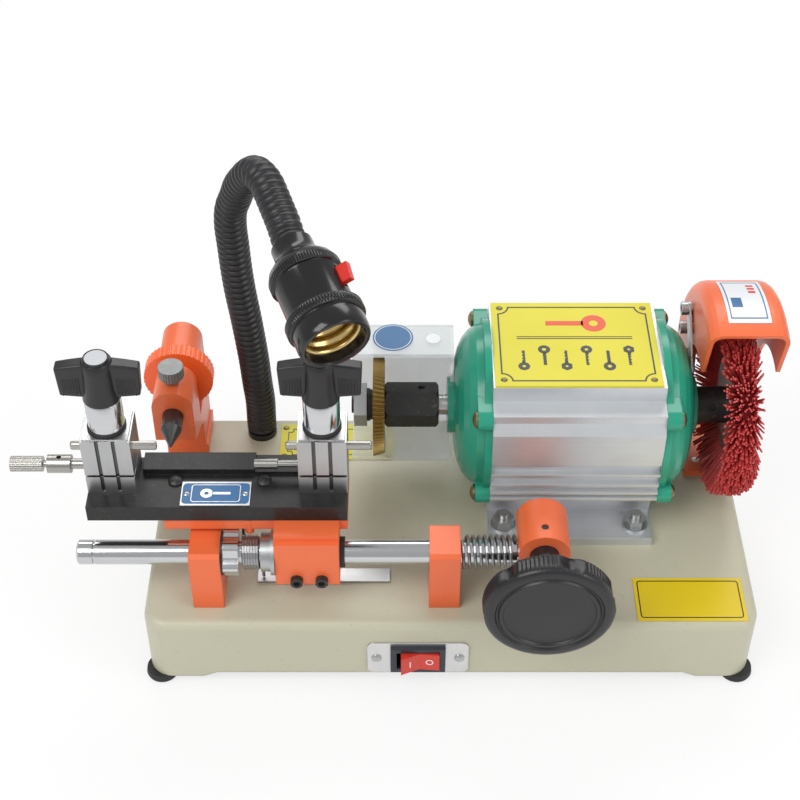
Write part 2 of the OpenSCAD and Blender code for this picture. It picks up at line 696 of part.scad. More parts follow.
module cutter_washers() {
    half = cutter_washer_w / 2;
    color("#222323") at_origin() for (i = [0, 1]) turned_x([[spigot_r + run_fit, washer_x + i * half],
        [9.7 - i * 0.7, washer_x + i * half], [9.7 - i * 0.7, washer_x + (i + 1) * half],
        [spigot_r + run_fit, washer_x + (i + 1) * half]], motor_y, motor_z);
}
module cutter_nut() {
    color("#A9B0B2") at_origin() difference() {
        hex_x(cutter_nut_r, nut_x, washer_x, motor_y, motor_z, hex_turn);
        rod_x(spigot_r + run_fit, nut_x - 1, washer_x + 1, motor_y, motor_z);
    }
}
module spindle_set_screws() {
    color("#3A3B3C") at_origin() {
        translate([arbor_x1 - 10, motor_y, motor_z]) rotate([arbor_screw_a, 0, 0])
            rod_y(set_screw_r, motor_shaft_r + 0.02, 9.5, 0, 0);
        translate([hub_x + 9, motor_y, motor_z]) rotate([hub_screw_a, 0, 0])
            rod_y(set_screw_r, motor_shaft_r + 0.02, 9.5, 0, 0);
    }
}

// ---- brush side of the spindle
brush_disc_t = 1.5;
bristle_lean = 3.3;
hub_neck_r = 8;
hub_end_x = disc_x + 2 * brush_disc_t + bristle_root_w;
module brush_hub() {
    color("#2A2A2B") at_origin() difference() {
        union() {
            rod_x(brush_hub_r, hub_x, disc_x, motor_y, motor_z);
            rod_x(hub_neck_r, disc_x - 1, hub_end_x, motor_y, motor_z);
            rod_x(brush_hub_r - 1, hub_end_x, hub_end_x + 5, motor_y, motor_z);
        }
        rod_x(motor_shaft_r + run_fit, hub_x - 1, hub_end_x + 3.3, motor_y, motor_z);
        translate([hub_x + 9, motor_y, motor_z]) rotate([hub_screw_a, 0, 0])
            rod_y(set_screw_r + run_fit, motor_shaft_r - 1, brush_hub_r + 1, 0, 0);
    }
}
module brush_discs() {
    color("#9A9DA0") at_origin() for (x = [disc_x, hub_end_x - brush_disc_t])
        turned_x([[hub_neck_r + run_fit, x], [brush_disc_r, x], [brush_disc_r, x + brush_disc_t],
            [hub_neck_r + run_fit, x + brush_disc_t]], motor_y, motor_z);
}
module brush_bristles() {
    x0 = disc_x + brush_disc_t;
    mid = x0 + bristle_root_w / 2 - bristle_lean;
    rim = bristle_rim_w / 2;
    color("#BE3C3C") at_origin() turned_x([[hub_neck_r + 0.1, x0], [brush_disc_r + 1, x0], [brush_r - 2, mid - rim],
        [brush_r, mid - rim * 0.5], [brush_r, mid + rim * 0.5], [brush_r - 2, mid + rim],
        [brush_disc_r + 1, x0 + bristle_root_w], [hub_neck_r + 0.1, x0 + bristle_root_w]], motor_y,
            motor_z);
}

// ---- brush guard
guard_pivot = [42, 24];
guard_slot_a = 107;
guard_slot_reach = 20.5;
guard_bolt_r = 2.5;
guard_swing = 20;
// Outline of a slot of half width r that follows an arc of radius reach
function slot_points(reach, r, a0, a1) = concat(
    [for (a = [a0:2:a1]) (reach + r) * [cos(a), sin(a)]],
    [for (b = [10:10:170]) reach * [cos(a1), sin(a1)] + r * [cos(a1 + b), sin(a1 + b)]],
    [for (a = [a1:-2:a0]) (reach - r) * [cos(a), sin(a)]],
    [for (b = [190:10:350]) reach * [cos(a0), sin(a0)] + r * [cos(a0 + b), sin(a0 + b)]]);
module guard_sector(points) {
    translate([guard_x, motor_y, motor_z]) rotate([90, 0, 90]) rotate([0, 0, guard_rear_a])
        rotate_extrude(angle = guard_front_a - guard_rear_a) polygon(points);
}
module brush_guard() {
    round_r = 8;
    inner = guard_r - guard_t;
    color("#EE6F3E") at_origin() difference() {
        guard_sector(concat([[guard_r - guard_side, 0]],
            [for (a = [0:22.5:90]) [guard_r - round_r + round_r * sin(a), round_r - round_r * cos(a)]],
            [for (a = [90:-22.5:0]) [guard_r - round_r + round_r * sin(a),
                guard_w - round_r + round_r * cos(a)]],
            [[guard_r - guard_side, guard_w], [guard_r - guard_side, guard_w - guard_t]],
            [for (a = [0:22.5:90]) [guard_r - round_r + (round_r - guard_t) * sin(a),
                guard_w - round_r + (round_r - guard_t) * cos(a)]],
            [for (a = [90:-22.5:0]) [guard_r - round_r + (round_r - guard_t) * sin(a),
                round_r - (round_r - guard_t) * cos(a)]],
            [[guard_r - guard_side, guard_t]]));
        translate([guard_x - 1, motor_y + guard_pivot[0], motor_z + guard_pivot[1]]) {
            rod_x(guard_bolt_r + run_fit, 0, guard_t + 2, 0, 0);
            rotate([90, 0, 90]) linear_extrude(guard_t + 2)
                polygon(slot_points(guard_slot_reach, guard_bolt_r + run_fit, guard_slot_a,
                    guard_slot_a + guard_swing));
        }
    }
}
module guard_post() {
    y = motor_y + guard_pivot[0];
    z = motor_z + guard_pivot[1];
    color("#EE6F3E") at_origin() difference() {
        union() {
            block([guard_post_x, guard_foot_y, base_top],
                [guard_post_x + guard_foot_w, post_rear_y, base_top + guard_foot_t]);
            translate([guard_post_x, 0, 0]) rotate([90, 0, 90]) linear_extrude(guard_post_w) {
                polygon([[post_front_y, base_top + 1], [post_rear_y, base_top + 1], [post_rear_y, z],
                    [y - 8, z], [y - 16, motor_z - 12]]);
                translate([y, z]) circle(r = 8);
            }
        }
        rod_x(guard_bolt_r + run_fit, guard_post_x - 1, guard_post_x + guard_post_w + 1, y, z);
        for (p = guard_screws)
            rod_z(screw_r + screw_fit, base_top - 1, base_top + guard_foot_t + 1, p[0], p[1]);
    }
}
link_t = 1.2;
link_a = 70;
link_foot = 23 * [cos(link_a), sin(link_a)];
link_screw_r = 1.5;
link_screw_depth = 2;
// Pivot bolt, slot bolt and the steel link that ties the slot bolt to the end bell
module guard_bolts() {
    slot = [guard_pivot[0] + guard_slot_reach * cos(guard_slot_a),
        guard_pivot[1] + guard_slot_reach * sin(guard_slot_a)];
    color("#B4B8BB") at_origin() translate([0, motor_y, motor_z]) {
        translate([guard_x - 0.3, guard_pivot[0], guard_pivot[1]]) rotate([0, -90, 0])
            socket_screw(guard_bolt_r, 0.3 + guard_t + 0.5 + guard_post_w);
        difference() {
            translate([bell_right_x, 0, 0]) rotate([90, 0, 90]) linear_extrude(link_t) hull() {
                translate(link_foot) circle(r = 4.5);
                translate(slot) circle(r = 4.5);
            }
            rod_x(guard_bolt_r + run_fit, bell_right_x - 1, bell_right_x + 3, slot[0], slot[1]);
            rod_x(link_screw_r + run_fit, bell_right_x - 1, bell_right_x + 3, link_foot[0], link_foot[1]);
        }
        translate([bell_right_x, slot[0], slot[1]]) rotate([0, -90, 0])
            socket_screw(guard_bolt_r, 2.5 + guard_t + 3.6);
        translate([guard_x + guard_t + 0.3, slot[0], slot[1]]) rotate([0, 90, 0])
            hex_nut(5, 2.8, guard_bolt_r + run_fit);
        translate([bell_right_x + link_t, link_foot[0], link_foot[1]]) rotate([0, 90, 0])
            pan_screw(link_screw_r, link_t + link_screw_depth);
    }
}

// ---- chip shield
shield_corner_r = 8;
shield_screw_a = [47, -73];
shield_screw_r = 25.8;
shield_hole_r = 18;
shield_roof_y = 4;
shield_floor_y = -11;
module shield_outline(inset) {
    difference() {
        translate([-10, 0]) intersection() {
            translate([shield_back - 25, 0]) round_rect(70 - 2 * inset,
                shield_up + shield_down - 2 * inset,
                shield_corner_r - inset);
            square([400, 400], center = true);
        }
        polygon([[shield_floor_y, -shield_down - 1], [shield_roof_y, shield_up + 1],
            [-100, shield_up + 1], [-100, -shield_down - 1]]);
    }
}
module chip_shield() {
    x0 = bell_left_x - shield_l;
    color("#E4ECEF", 0.45) at_origin() difference() {
        translate([x0, motor_y, motor_z + (shield_up - shield_down) / 2]) rotate([90, 0, 90]) {
            linear_extrude(shield_l) difference() {
                shield_outline(0);
                shield_outline(shield_t);
            }
            translate([0, 0, shield_l - shield_t]) linear_extrude(shield_t) shield_outline(0);
        }
        rod_x(shield_hole_r, bell_left_x - shield_t - 1, bell_left_x + 1, motor_y, motor_z);
        for (a = shield_screw_a) translate([bell_left_x, motor_y, motor_z]) rotate([a, 0, 0])
            rod_x(1.5 + screw_fit, -shield_t - 1, 1, shield_screw_r, 0);
    }
}

// ---- tracer
tracer_front_d = 25;
tracer_gap_y = tracer_front_y + tracer_front_d;
tracer_rear_y = tracer_gap_y + dial_w + 8;
tracer_top_z = motor_z + 18;
lock_y = tracer_front_y + 11;
lock_r = 3;
tracer_floor_z = motor_z - dial_r - 1.8;
module tracer_bracket() {
    half = tracer_w / 2;
    color("#EE6F3E") at_origin() difference() {
        union() {
            intersection() {
                translate([tracer_x - half - 1, 0, 0]) rotate([90, 0, 90]) linear_extrude(tracer_w + 2)
                    polygon([[tracer_front_y, tracer_top_z], [tracer_gap_y, tracer_top_z],
                        [tracer_gap_y, tracer_floor_z], [tracer_rear_y, tracer_floor_z],
                        [tracer_rear_y, tracer_top_z], [tracer_back_y, tracer_top_z],
                        [tracer_back_y, base_top], [tracer_leg_y, base_top], [tracer_leg_y, motor_z - 37],
                        [tracer_gap_y - 1, motor_z - 30], [tracer_front_y, motor_z - 19.5]]);
                union() {
                    block([tracer_x - half, 0, base_top], [tracer_x + half, base_d / 2,
                        tracer_top_z - half]);
                    rod_y(half, 0, base_d / 2, tracer_x, tracer_top_z - half);
                }
            }
            block([tracer_x - half, tracer_leg_y, base_top], [tracer_x + half + 1.5, tracer_back_y,
                base_top + 8]);
        }
        rod_y(tracer_bar_r + run_fit, tracer_front_y - 1, tracer_back_y + 1, tracer_x, motor_z);
        rod_z(lock_r + run_fit, motor_z, tracer_top_z + 1, tracer_x, lock_y);
        for (y = tracer_screws_y)
            rod_z(screw_r + screw_fit, base_top - 1, base_top + 10, tracer_x, y);
    }
}
// A knurled disc on z = 0, its grooves cut as small round notches
module knurled(r, h, n, notch) {
    linear_extrude(h) difference() {
        circle(r = r);
        for (i = [0:n - 1]) rotate(i * 360 / n) translate([r + notch * 0.4, 0]) circle(r = notch,
            $fn = 8);
    }
}
module tracer_dial() {
    y0 = tracer_gap_y + gap;
    y1 = tracer_rear_y - 1.6 - dial_w;
    color("#1D1E1F") at_origin() difference() {
        rod_y(11, y0, y1, tracer_x, motor_z);
        rod_y(tracer_bar_r + run_fit, y0 - 1, y1 + 1, tracer_x, motor_z);
    }
    color("#F26322") at_origin() difference() {
        union() {
            translate([tracer_x, y1, motor_z]) rotate([-90, 0, 0]) knurled(dial_r, dial_w, 40, 0.9);
            rod_y(11, y1 + 1, tracer_rear_y - gap, tracer_x, motor_z);
        }
        rod_y(tracer_bar_r + run_fit, y1 - 1, tracer_rear_y + 1, tracer_x, motor_z);
    }
}
module tracer_bar() {
    tip_y = motor_y - cutter_r;
    nose = 9;
    color("#8F9496") at_origin() {
        rod_y(tracer_bar_r, tip_y + nose, tracer_back_y - 3, tracer_x, motor_z);
        hull() {
            rod_y(tracer_bar_r, tip_y + nose - 0.5, tip_y + nose, tracer_x, motor_z);
            block([tracer_x - 0.6, tip_y, motor_z - 5.5], [tracer_x + 0.6, tip_y + 0.6, motor_z - 3]);
        }
    }
}
module tracer_lock_screw() {
    z0 = tracer_top_z + 4;
    color("#B9BDBF") at_origin() {
        rod_z(lock_r, motor_z + tracer_bar_r + 0.02, z0 + 1, tracer_x, lock_y);
        translate([tracer_x, lock_y, z0]) knurled(7.5, 7, 28, 0.7);
        rod_z(4.5, tracer_top_z + gap, z0 + 1, tracer_x, lock_y);
    }
}

// ---- shaft and carriage
pillar_h = shaft_up + 10;
shaft_x0 = -pillar_left_x - pillar_w - shaft_tail;
shaft_shoulder_x = lever_x - lever_r - gap;
spigot_x1 = lever_x - 6;
shaft_spigot_r = 4.5;
bed_x1 = -bed_right_x;
bed_x0 = bed_x1 - bed_l;
bed_y0 = -bed_front;
bed_y1 = bed_y0 + bed_d;
clamp_x1 = bed_x1 - 4.6;
clamp_x0 = clamp_x1 - clamp_l;
bed_z = shaft_z + 21.5;
bed_top = bed_z + bed_t;
cast_x0 = bed_x0 + 42;
cast_t = 8;
jaw_y0 = bed_y0 + jaw_setback;
jaw_y1 = jaw_y0 + jaw_d;
stud_y = (jaw_y0 + jaw_y1) / 2;
jaw_right_c = bed_x1 + 0.3 - jaw_w / 2;
jaw_left_c = jaw_right_c - pitch_x;
jaw_z = bed_top + jaw_low_h;
upper_z = jaw_z + gap;
upper_top = upper_z + jaw_up_h;
bed_screws = [[cast_x0 + 5.8, bed_y0 + 20.2], [clamp_x0 - 6.1, bed_y0 + 20.2]];
bed_screw_r = 2.2;
clamp_screw_r = 2.2;
clamp_screws = [clamp_x0 + clamp_l * 0.33, clamp_x0 + clamp_l * 0.72];
clamp_screw_z = shaft_z - 10.8;
pin_x = clamp_x0 - 14.4;
rest_strip_x = [clamp_x0 - 12.5, clamp_x0 + 63.9];
pin_y = bed_y0 + 3;
pin_r = 2.5;
lever_z = shaft_z + lever_rise;
lever_y0 = shaft_y - 8.2;
module pillar(xc) {
    cham = 2.2;
    difference() {
        translate([xc - pillar_w / 2, shaft_y, base_top]) rotate([90, 0, 90]) linear_extrude(pillar_w)
            polygon([[-pillar_d / 2, 0], [pillar_d / 2, 0], [pillar_d / 2, pillar_h - cham],
                [pillar_d / 2 - cham, pillar_h], [cham - pillar_d / 2, pillar_h], [-pillar_d / 2,
                    pillar_h - cham]]);
        rod_x(shaft_r + run_fit, xc - pillar_w, xc + pillar_w, shaft_y, shaft_z);
        for (s = [-1, 1]) rod_z(screw_r + screw_fit, base_top - 1, base_top + 10, xc, shaft_y + s * 7);
    }
}
module shaft_pillars() {
    color("#77797A") at_origin() {
        pillar(pillar_left_c);
        pillar(pillar_right_c);
    }
}
module rest_strip() {
    color("#A9ACAD") at_origin() block([rest_strip_x[0], shaft_y + 5.4, base_top],
        [rest_strip_x[1], shaft_y + 15.3, base_top + 1.5]);
}
module carriage_shaft() {
    groove = shaft_x0 + 8.8;
    color("#A5A9AC") at_origin() turned_x([[0, shaft_x0], [shaft_r - 1, shaft_x0], [shaft_r, shaft_x0 + 1],
        [shaft_r, groove], [shaft_r - 1, groove], [shaft_r - 1, groove + 1.2], [shaft_r, groove + 1.2],
        [shaft_r, shaft_shoulder_x], [shaft_spigot_r, shaft_shoulder_x], [shaft_spigot_r, spigot_x1],
        [0, spigot_x1]], shaft_y, shaft_z);
}
module carriage_casting() {
    y0 = shaft_y - 11;
    y1 = shaft_y + 12;
    z0 = shaft_z - 15;
    color("#C4C8CA") at_origin() difference() {
        union() {
            block([clamp_x0, y0 + 3, z0], [clamp_x1, y1, bed_z]);
            block([clamp_x0, y0, z0], [clamp_x1, y0 + 4, bed_z - 4]);
            block([cast_x0, bed_y0 + 1, bed_z - cast_t], [bed_x1, bed_y1, bed_z]);
            rod_z(pin_r, bed_z - cast_t - 3.5, bed_z - 1, pin_x, pin_y);
        }
        rod_x(shaft_r + run_fit, clamp_x0 - 1, clamp_x1 + 1, shaft_y, shaft_z);
        block([clamp_x0 - 1, shaft_y - 0.7, z0 - 1], [clamp_x1 + 1, shaft_y + 0.7, shaft_z]);
        for (x = clamp_screws) rod_y(clamp_screw_r + screw_fit, y0 - 1, y1 - 2, x, clamp_screw_z);
        for (p = bed_screws) rod_z(bed_screw_r + screw_fit, bed_z - cast_t - 1, bed_z + 1, p[0], p[1]);
        rod_z(stud_r + screw_fit, bed_z - 3, bed_z + 1, jaw_right_c, stud_y);
    }
}
module carriage_screws() {
    color("#7D8083") at_origin() {
        for (x = clamp_screws) translate([x, shaft_y - 11, clamp_screw_z]) rotate([90, 0, 0])
            socket_screw(clamp_screw_r, 20);
        for (p = bed_screws) translate([p[0], p[1], bed_top]) pan_screw(bed_screw_r, bed_t + cast_t - 1);
        rod_z(set_screw_r, lever_z + stem_spigot_r + 0.02, lever_z + lever_r - 0.6, lever_x, shaft_y);
    }
}
rib_d = 13.5;
module jaw_bed() {
    rib_x0 = jaw_left_c + jaw_w / 2 + 1.7;
    rib_x1 = jaw_right_c - jaw_w / 2 - 1.4;
    step_x = rib_x1 - 24;
    color("#9DA2A5") at_origin() difference() {
        union() {
            block([bed_x0, bed_y0, bed_z], [bed_x1, bed_y1, bed_top]);
            block([rib_x0, bed_y1 - rib_d, bed_top - 1], [step_x, bed_y1, bed_top + 4]);
            block([rib_x0, bed_y1 - rib_d, bed_top - 1], [rib_x1, bed_y1, bed_top + 2]);
        }
        for (p = bed_screws) rod_z(bed_screw_r + screw_fit, bed_z - 1, bed_top + 6, p[0], p[1]);
        for (x = [jaw_left_c, jaw_right_c]) rod_z(stud_r + run_fit, bed_z + 0.5, bed_top + 1, x, stud_y);
        for (p = bed_rivets) rod_z(rivet_r + 0.1, bed_top - 3, bed_top + 1, p[0], p[1]);
    }
}
bed_plate_size = [bed_screws[1][0] - bed_screws[0][0] - 10.9, 18.2];
bed_plate_c = [(bed_screws[0][0] + bed_screws[1][0]) / 2 - 1.45, bed_y0 + 9.9];
bed_rivets = [for (s = [-1, 1]) [bed_plate_c[0] + s * (bed_plate_size[0] / 2 - 3), bed_plate_c[1]]];
module bed_plate() {
    t = plate_t * 0.7;
    color("#BFC3C6") at_origin() difference() {
        translate([bed_plate_c[0] - bed_plate_size[0] / 2, bed_plate_c[1] - bed_plate_size[1] / 2,
            bed_top])
            cube([bed_plate_size[0], bed_plate_size[1], t]);
        for (p = bed_rivets) rod_z(rivet_r + 0.1, bed_top - 1, bed_top + 3, p[0], p[1]);
    }
    color("#D4D7D9") at_origin() for (p = bed_rivets) translate([p[0], p[1], bed_top + t]) rivet(t + 2);
}

// ---- vises
key_slot_d = 8;
key_slot_h = 1.4;
rod_y_off = 1.7;
rod_z0 = jaw_z - 4.8;
rod_tip_r = 2;
rod_tip_gap = 5.6;
gauge_y = jaw_y0 + 5.2;
gauge_r = 1.6;
stop_rod_l = 44;
groove_w = 2;
module jaw_grooves(xc, z0, z1) {
    for (s = [-1, 1]) block([xc + s * jaw_w / 6 - groove_w / 2, jaw_y0 - 1, z0],
        [xc + s * jaw_w / 6 + groove_w / 2, jaw_y0 + 1, z1]);
}
module lower_jaws() {
    color("#A3A8AB") at_origin() for (xc = [jaw_left_c, jaw_right_c]) difference() {
        block([xc - jaw_w / 2, jaw_y0, bed_top], [xc + jaw_w / 2, jaw_y1, jaw_z]);
        block([xc - jaw_w / 2 - 1, jaw_y0 - 1, jaw_z - key_slot_h], [xc + jaw_w / 2 + 1,
            jaw_y0 + key_slot_d, jaw_z + 1]);
        rod_z(stud_r + run_fit, bed_top - 1, jaw_z + 1, xc, stud_y);
        jaw_grooves(xc, bed_top + 2, jaw_z + 1);
        rod_x(rod_tip_r + run_fit, xc - jaw_w / 2 - 1, xc - rod_tip_gap, stud_y + rod_y_off, rod_z0);
    }
}
module vise_studs() {
    color("#B3B7BA") at_origin() for (xc = [jaw_left_c, jaw_right_c])
        rod_z(stud_r, bed_z + 0.5, upper_top + sleeve_h + wing_h - 9, xc, stud_y);
}
module upper_jaw(xc) {
    gauge_z = upper_top - 8;
    cham = 1;
    color("#A3A8AB") at_origin() difference() {
        union() {
            block([xc - jaw_w / 2, jaw_y0, upper_z], [xc + jaw_w / 2, jaw_y1, upper_top - cham]);
            block([xc - jaw_w / 2 + cham, jaw_y0 + cham, upper_z + 1], [xc + jaw_w / 2 - cham,
                jaw_y1 - cham, upper_top]);
        }
        rod_z(stud_r + run_fit, upper_z - 1, upper_top + 1, xc, stud_y);
        rod_x(gauge_r + run_fit, xc - jaw_w, xc + jaw_w, gauge_y, gauge_z);
        jaw_grooves(xc, upper_z - 1, upper_top + 1);
    }
    color("#C3C6C8") at_origin() rod_x(gauge_r, xc - jaw_w / 2 - 6.3, xc + jaw_w / 2 + 13.5, gauge_y, gauge_z);
}
module upper_jaw_left() { upper_jaw(jaw_left_c); }
module upper_jaw_right() { upper_jaw(jaw_right_c); }
wing_t = 6.5;
wing_tip_r = 7;
cap_r = 7;
module wing_knob(xc) {
    z0 = upper_top + sleeve_h;
    bore = stud_r + run_fit;
    ribs = 4;
    color("#D5D8DA") at_origin() difference() {
        rod_z(sleeve_r, upper_top, z0, xc, stud_y);
        rod_z(bore, upper_top - 1, z0 + 1, xc, stud_y);
        rod_z(sleeve_r + 1, upper_top - 1, upper_top + 2.2, xc, stud_y);
    }
    color("#17181A") at_origin() difference() {
        rod_z(sleeve_r + 0.7, upper_top, upper_top + 2.2, xc, stud_y);
        rod_z(bore, upper_top - 1, upper_top + 3, xc, stud_y);
    }
    color("#17181A") at_origin() difference() {
        union() {
            rod_z(wing_boss_r + 1.5, z0, z0 + 3, xc, stud_y);
            rod_z(wing_boss_r, z0, z0 + wing_h, xc, stud_y);
            translate([xc, stud_y + wing_t / 2, z0]) rotate([90, 0, 0]) linear_extrude(wing_t)
                hull() for (s = [-1, 1]) {
                    translate([s * (wing_span / 2 - wing_tip_r), wing_h - wing_tip_r])
                        circle(r = wing_tip_r);
                    translate([s * wing_boss_r, wing_h * 0.35]) circle(r = 2);
                }
            for (s = [-1, 1], i = [0:ribs - 1]) translate([xc + s * (wing_boss_r + 1.6 + i * 3),
                stud_y, z0 + wing_h * 0.62 + i * 0.9]) cube([1.2, wing_t + 1.8, wing_h * 0.42],
                    center = true);
        }
        rod_z(bore, z0 - 1, z0 + wing_h - 7, xc, stud_y);
    }
    color("#26282B") at_origin() rod_z(cap_r, z0 + wing_h, z0 + wing_h + 1.6, xc, stud_y);
}
module wing_knob_left() { wing_knob(jaw_left_c); }
module wing_knob_right() { wing_knob(jaw_right_c); }
module rod_knurl(r, x0, x1) {
    translate([x0, stud_y + rod_y_off, rod_z0]) rotate([0, 90, 0]) knurled(r, x1 - x0, 20, 0.5);
}
module stop_rod_left() {
    x1 = jaw_left_c - jaw_w / 2;
    y = stud_y + rod_y_off;
    color("#B9BDC0") at_origin() {
        rod_knurl(4.4, x1 - stop_rod_l, x1 - 25.9);
        rod_x(2, x1 - 26, x1 - 23, y, rod_z0);
        difference() {
            rod_x(5.25, x1 - 23.3, x1 - 10.1, y, rod_z0);
            rod_z(1.3, rod_z0 - 6, rod_z0 + 6, x1 - 16.7, y);
        }
        rod_x(3, x1 - 10.2, x1 - gap, y, rod_z0);
        rod_x(rod_tip_r, x1 - 1, jaw_left_c - rod_tip_gap - gap, y, rod_z0);
    }
}
module stop_rod_right() {
    x1 = jaw_right_c - jaw_w / 2;
    y = stud_y + rod_y_off;
    color("#C8CBCD") at_origin() {
        rod_x(3, x1 - 25.3, x1 - 12.3, y, rod_z0);
        rod_x(rod_tip_r, x1 - 12.4, jaw_right_c - rod_tip_gap - gap, y, rod_z0);
    }
}

// ---- springs and washers on the shaft
collar_x1 = clamp_x0 - 20.2;
collar_x0 = -pillar_left_x + 1.5;
spring_x0 = collar_x1 + 1;
spring_x1 = clamp_x0 - 8;
module washer_x_at(x0, x1, r) {
    turned_x([[shaft_r + run_fit, x0], [r, x0], [r, x1], [shaft_r + run_fit, x1]], shaft_y, shaft_z);
}
module spring_collar() {
    color("#C9CCCE") at_origin() difference() {
        translate([collar_x0, shaft_y, shaft_z]) rotate([90, 0, 90]) linear_extrude(collar_x1 - collar_x0)
            polygon([for (a = [0:5:355]) (12.8 + 1.5 * cos(6 * a)) * [cos(a), sin(a)]]);
        rod_x(shaft_r + run_fit, collar_x0 - 1, collar_x1 + 1, shaft_y, shaft_z);
    }
}
function unit(v) = v / norm(v);
function tangent(p, i) = unit(p[min(i + 1, len(p) - 1)] - p[max(i - 1, 0)]);
// A round bar along a path, or from point i0 to i1 of it. Its tangents stay clear of the direction ref
module sweep(path, r, ref, sides, i0 = 0, i1 = -1) {
    n = (i1 < 0 ? len(path) - 1 : i1) - i0 + 1;
    points = [for (i = [i0:i0 + n - 1]) let (t = tangent(path, i), u = unit(cross(t, ref)),
        v = cross(t, u))
        each [for (k = [0:sides - 1]) path[i] + r * (cos(360 * k / sides) * u + sin(360 * k / sides)
            * v)]];
    faces = concat([[for (k = [sides - 1:-1:0]) k]], [[for (k = [0:sides - 1]) (n - 1) * sides + k]],
        [for (i = [0:n - 2], k = [0:sides - 1]) [i * sides + k, i * sides + (k + 1) % sides,
            (i + 1) * sides + (k + 1) % sides, (i + 1) * sides + k]]);
    polyhedron(points, faces);
}
function coil(x0, x1, turns, a0) = [for (i = [0:turns * 16]) let (a = a0 + i * 22.5, t = i / (turns * 16))
    [x0 + (x1 - x0) * t, shaft_y + spring_r * cos(a), shaft_z + spring_r * sin(a)]];
module torsion_spring() {
    x0 = spring_x0 + torsion_wire_r;
    x1 = spring_x1 - torsion_wire_r;
    leg_z = base_top + 1.6 + torsion_wire_r;
    color("#8B8E90") at_origin() sweep(concat(
        [[x0, shaft_y + spring_r, shaft_z + 10.2]],
        coil(x0, x1, torsion_turns, 0),
        [[x1, shaft_y + spring_r, shaft_z - spring_r], [x1, shaft_y + spring_r, leg_z]]),
        torsion_wire_r, [1, 0, 0], 8);
}
module thrust_washers() {
    color("#3B3D3F") at_origin() washer_x_at(-pillar_left_x, collar_x0, 13);
    color("#9FA3A6") at_origin() {
        washer_x_at(spring_x1, clamp_x0 - 2.4, 11);
        washer_x_at(clamp_x0 - 2.4, clamp_x0 - 0.1, bed_z - cast_t - shaft_z - 0.3);
    }
    color("#1A1A1B") at_origin() washer_x_at(clamp_x1, clamp_x1 + 2.8, 8.75);
}
module buffer_spring() {
    color("#9A9DA0") at_origin() sweep(coil(pillar_x1 + buffer_wire_r, shaft_shoulder_x - buffer_wire_r,
        buffer_turns, 90), buffer_wire_r, [1, 0, 0], 8);
}
pillar_x1 = pillar_w - pillar_right_x;

// ---- lever hub and feed knob
stem_r = 7.8;
stem_spigot_r = 5;
counterbore_d = 2.5;
knob_y1 = lever_y0 + counterbore_d - 0.1 - knob_stem_l;
module lever_hub() {
    color("#5A5D60") at_origin() difference() {
        rod_y(lever_r, lever_y0, lever_y0 + lever_l, lever_x, lever_z);
        rod_y(stem_r + 0.2, lever_y0 - 1, lever_y0 + counterbore_d, lever_x, lever_z);
        rod_y(stem_spigot_r + run_fit, lever_y0, lever_y0 + lever_l - 5, lever_x, lever_z);
        rod_x(shaft_spigot_r + run_fit, lever_x - lever_r - 1, lever_x - 4, shaft_y, shaft_z);
        rod_z(set_screw_r + run_fit, lever_z, lever_z + lever_r + 1, lever_x, shaft_y);
    }
}
module feed_knob() {
    lobes = 6;
    ring_r = knob_r * 0.72;
    color("#161718") at_origin() difference() {
        union() {
            translate([lever_x, knob_y1, lever_z]) rotate([90, 0, 0]) {
                linear_extrude(knob_t) difference() {
                    circle(r = knob_r - 1);
                    for (i = [0:lobes - 1]) rotate(i * 360 / lobes + 15) translate([knob_r + 8, 0])
                        circle(r = 12);
                }
                for (i = [0:lobes - 1], j = [-2:2]) rotate([0, 0, i * 360 / lobes + 45 + j * 5.5])
                    translate([knob_r - 4, -0.9, 1.5]) cube([4, 1.8, knob_t - 3]);
            }
            rod_y(stem_r + 3, knob_y1 - 1, knob_y1 + 5, lever_x, lever_z);
        }
        rod_y(ring_r + 1.5, knob_y1 - knob_t - 1, knob_y1 - knob_t + 1.2, lever_x, lever_z);
        rod_y(stem_r + run_fit, knob_y1 - 8, knob_y1 + 6, lever_x, lever_z);
    }
    color("#161718") at_origin() translate([0, knob_y1 - knob_t, 0]) difference() {
        rod_y(ring_r - 1.5, 0, 2, lever_x, lever_z);
        rod_y(ring_r - 4, -1, 1, lever_x, lever_z);
    }
    color("#B9BDBF") at_origin() {
        rod_y(stem_r, knob_y1 - 8, lever_y0 + counterbore_d - 0.1, lever_x, lever_z);
        rod_y(stem_spigot_r, lever_y0 + counterbore_d - 0.2, lever_y0 + lever_l - 6, lever_x, lever_z);
    }
}

// ---- lamp
hose_plane = [0.92, 0.38, 0];
lamp_start = [hose_foot[0] + 31.3, hose_foot[1] - 74.4, base_top + 205.1];
lamp_turn = -67.5;
lamp_dip = 104.5;
lever_a = 50;
lever_t = 34;
lever_rock = 8;
socket_t = 24;
socket_floor = 4.8;
lamp_axis = [sin(lamp_dip) * cos(lamp_turn), sin(lamp_dip) * sin(lamp_turn), cos(lamp_dip)];
hose_end_gap = 0.7;
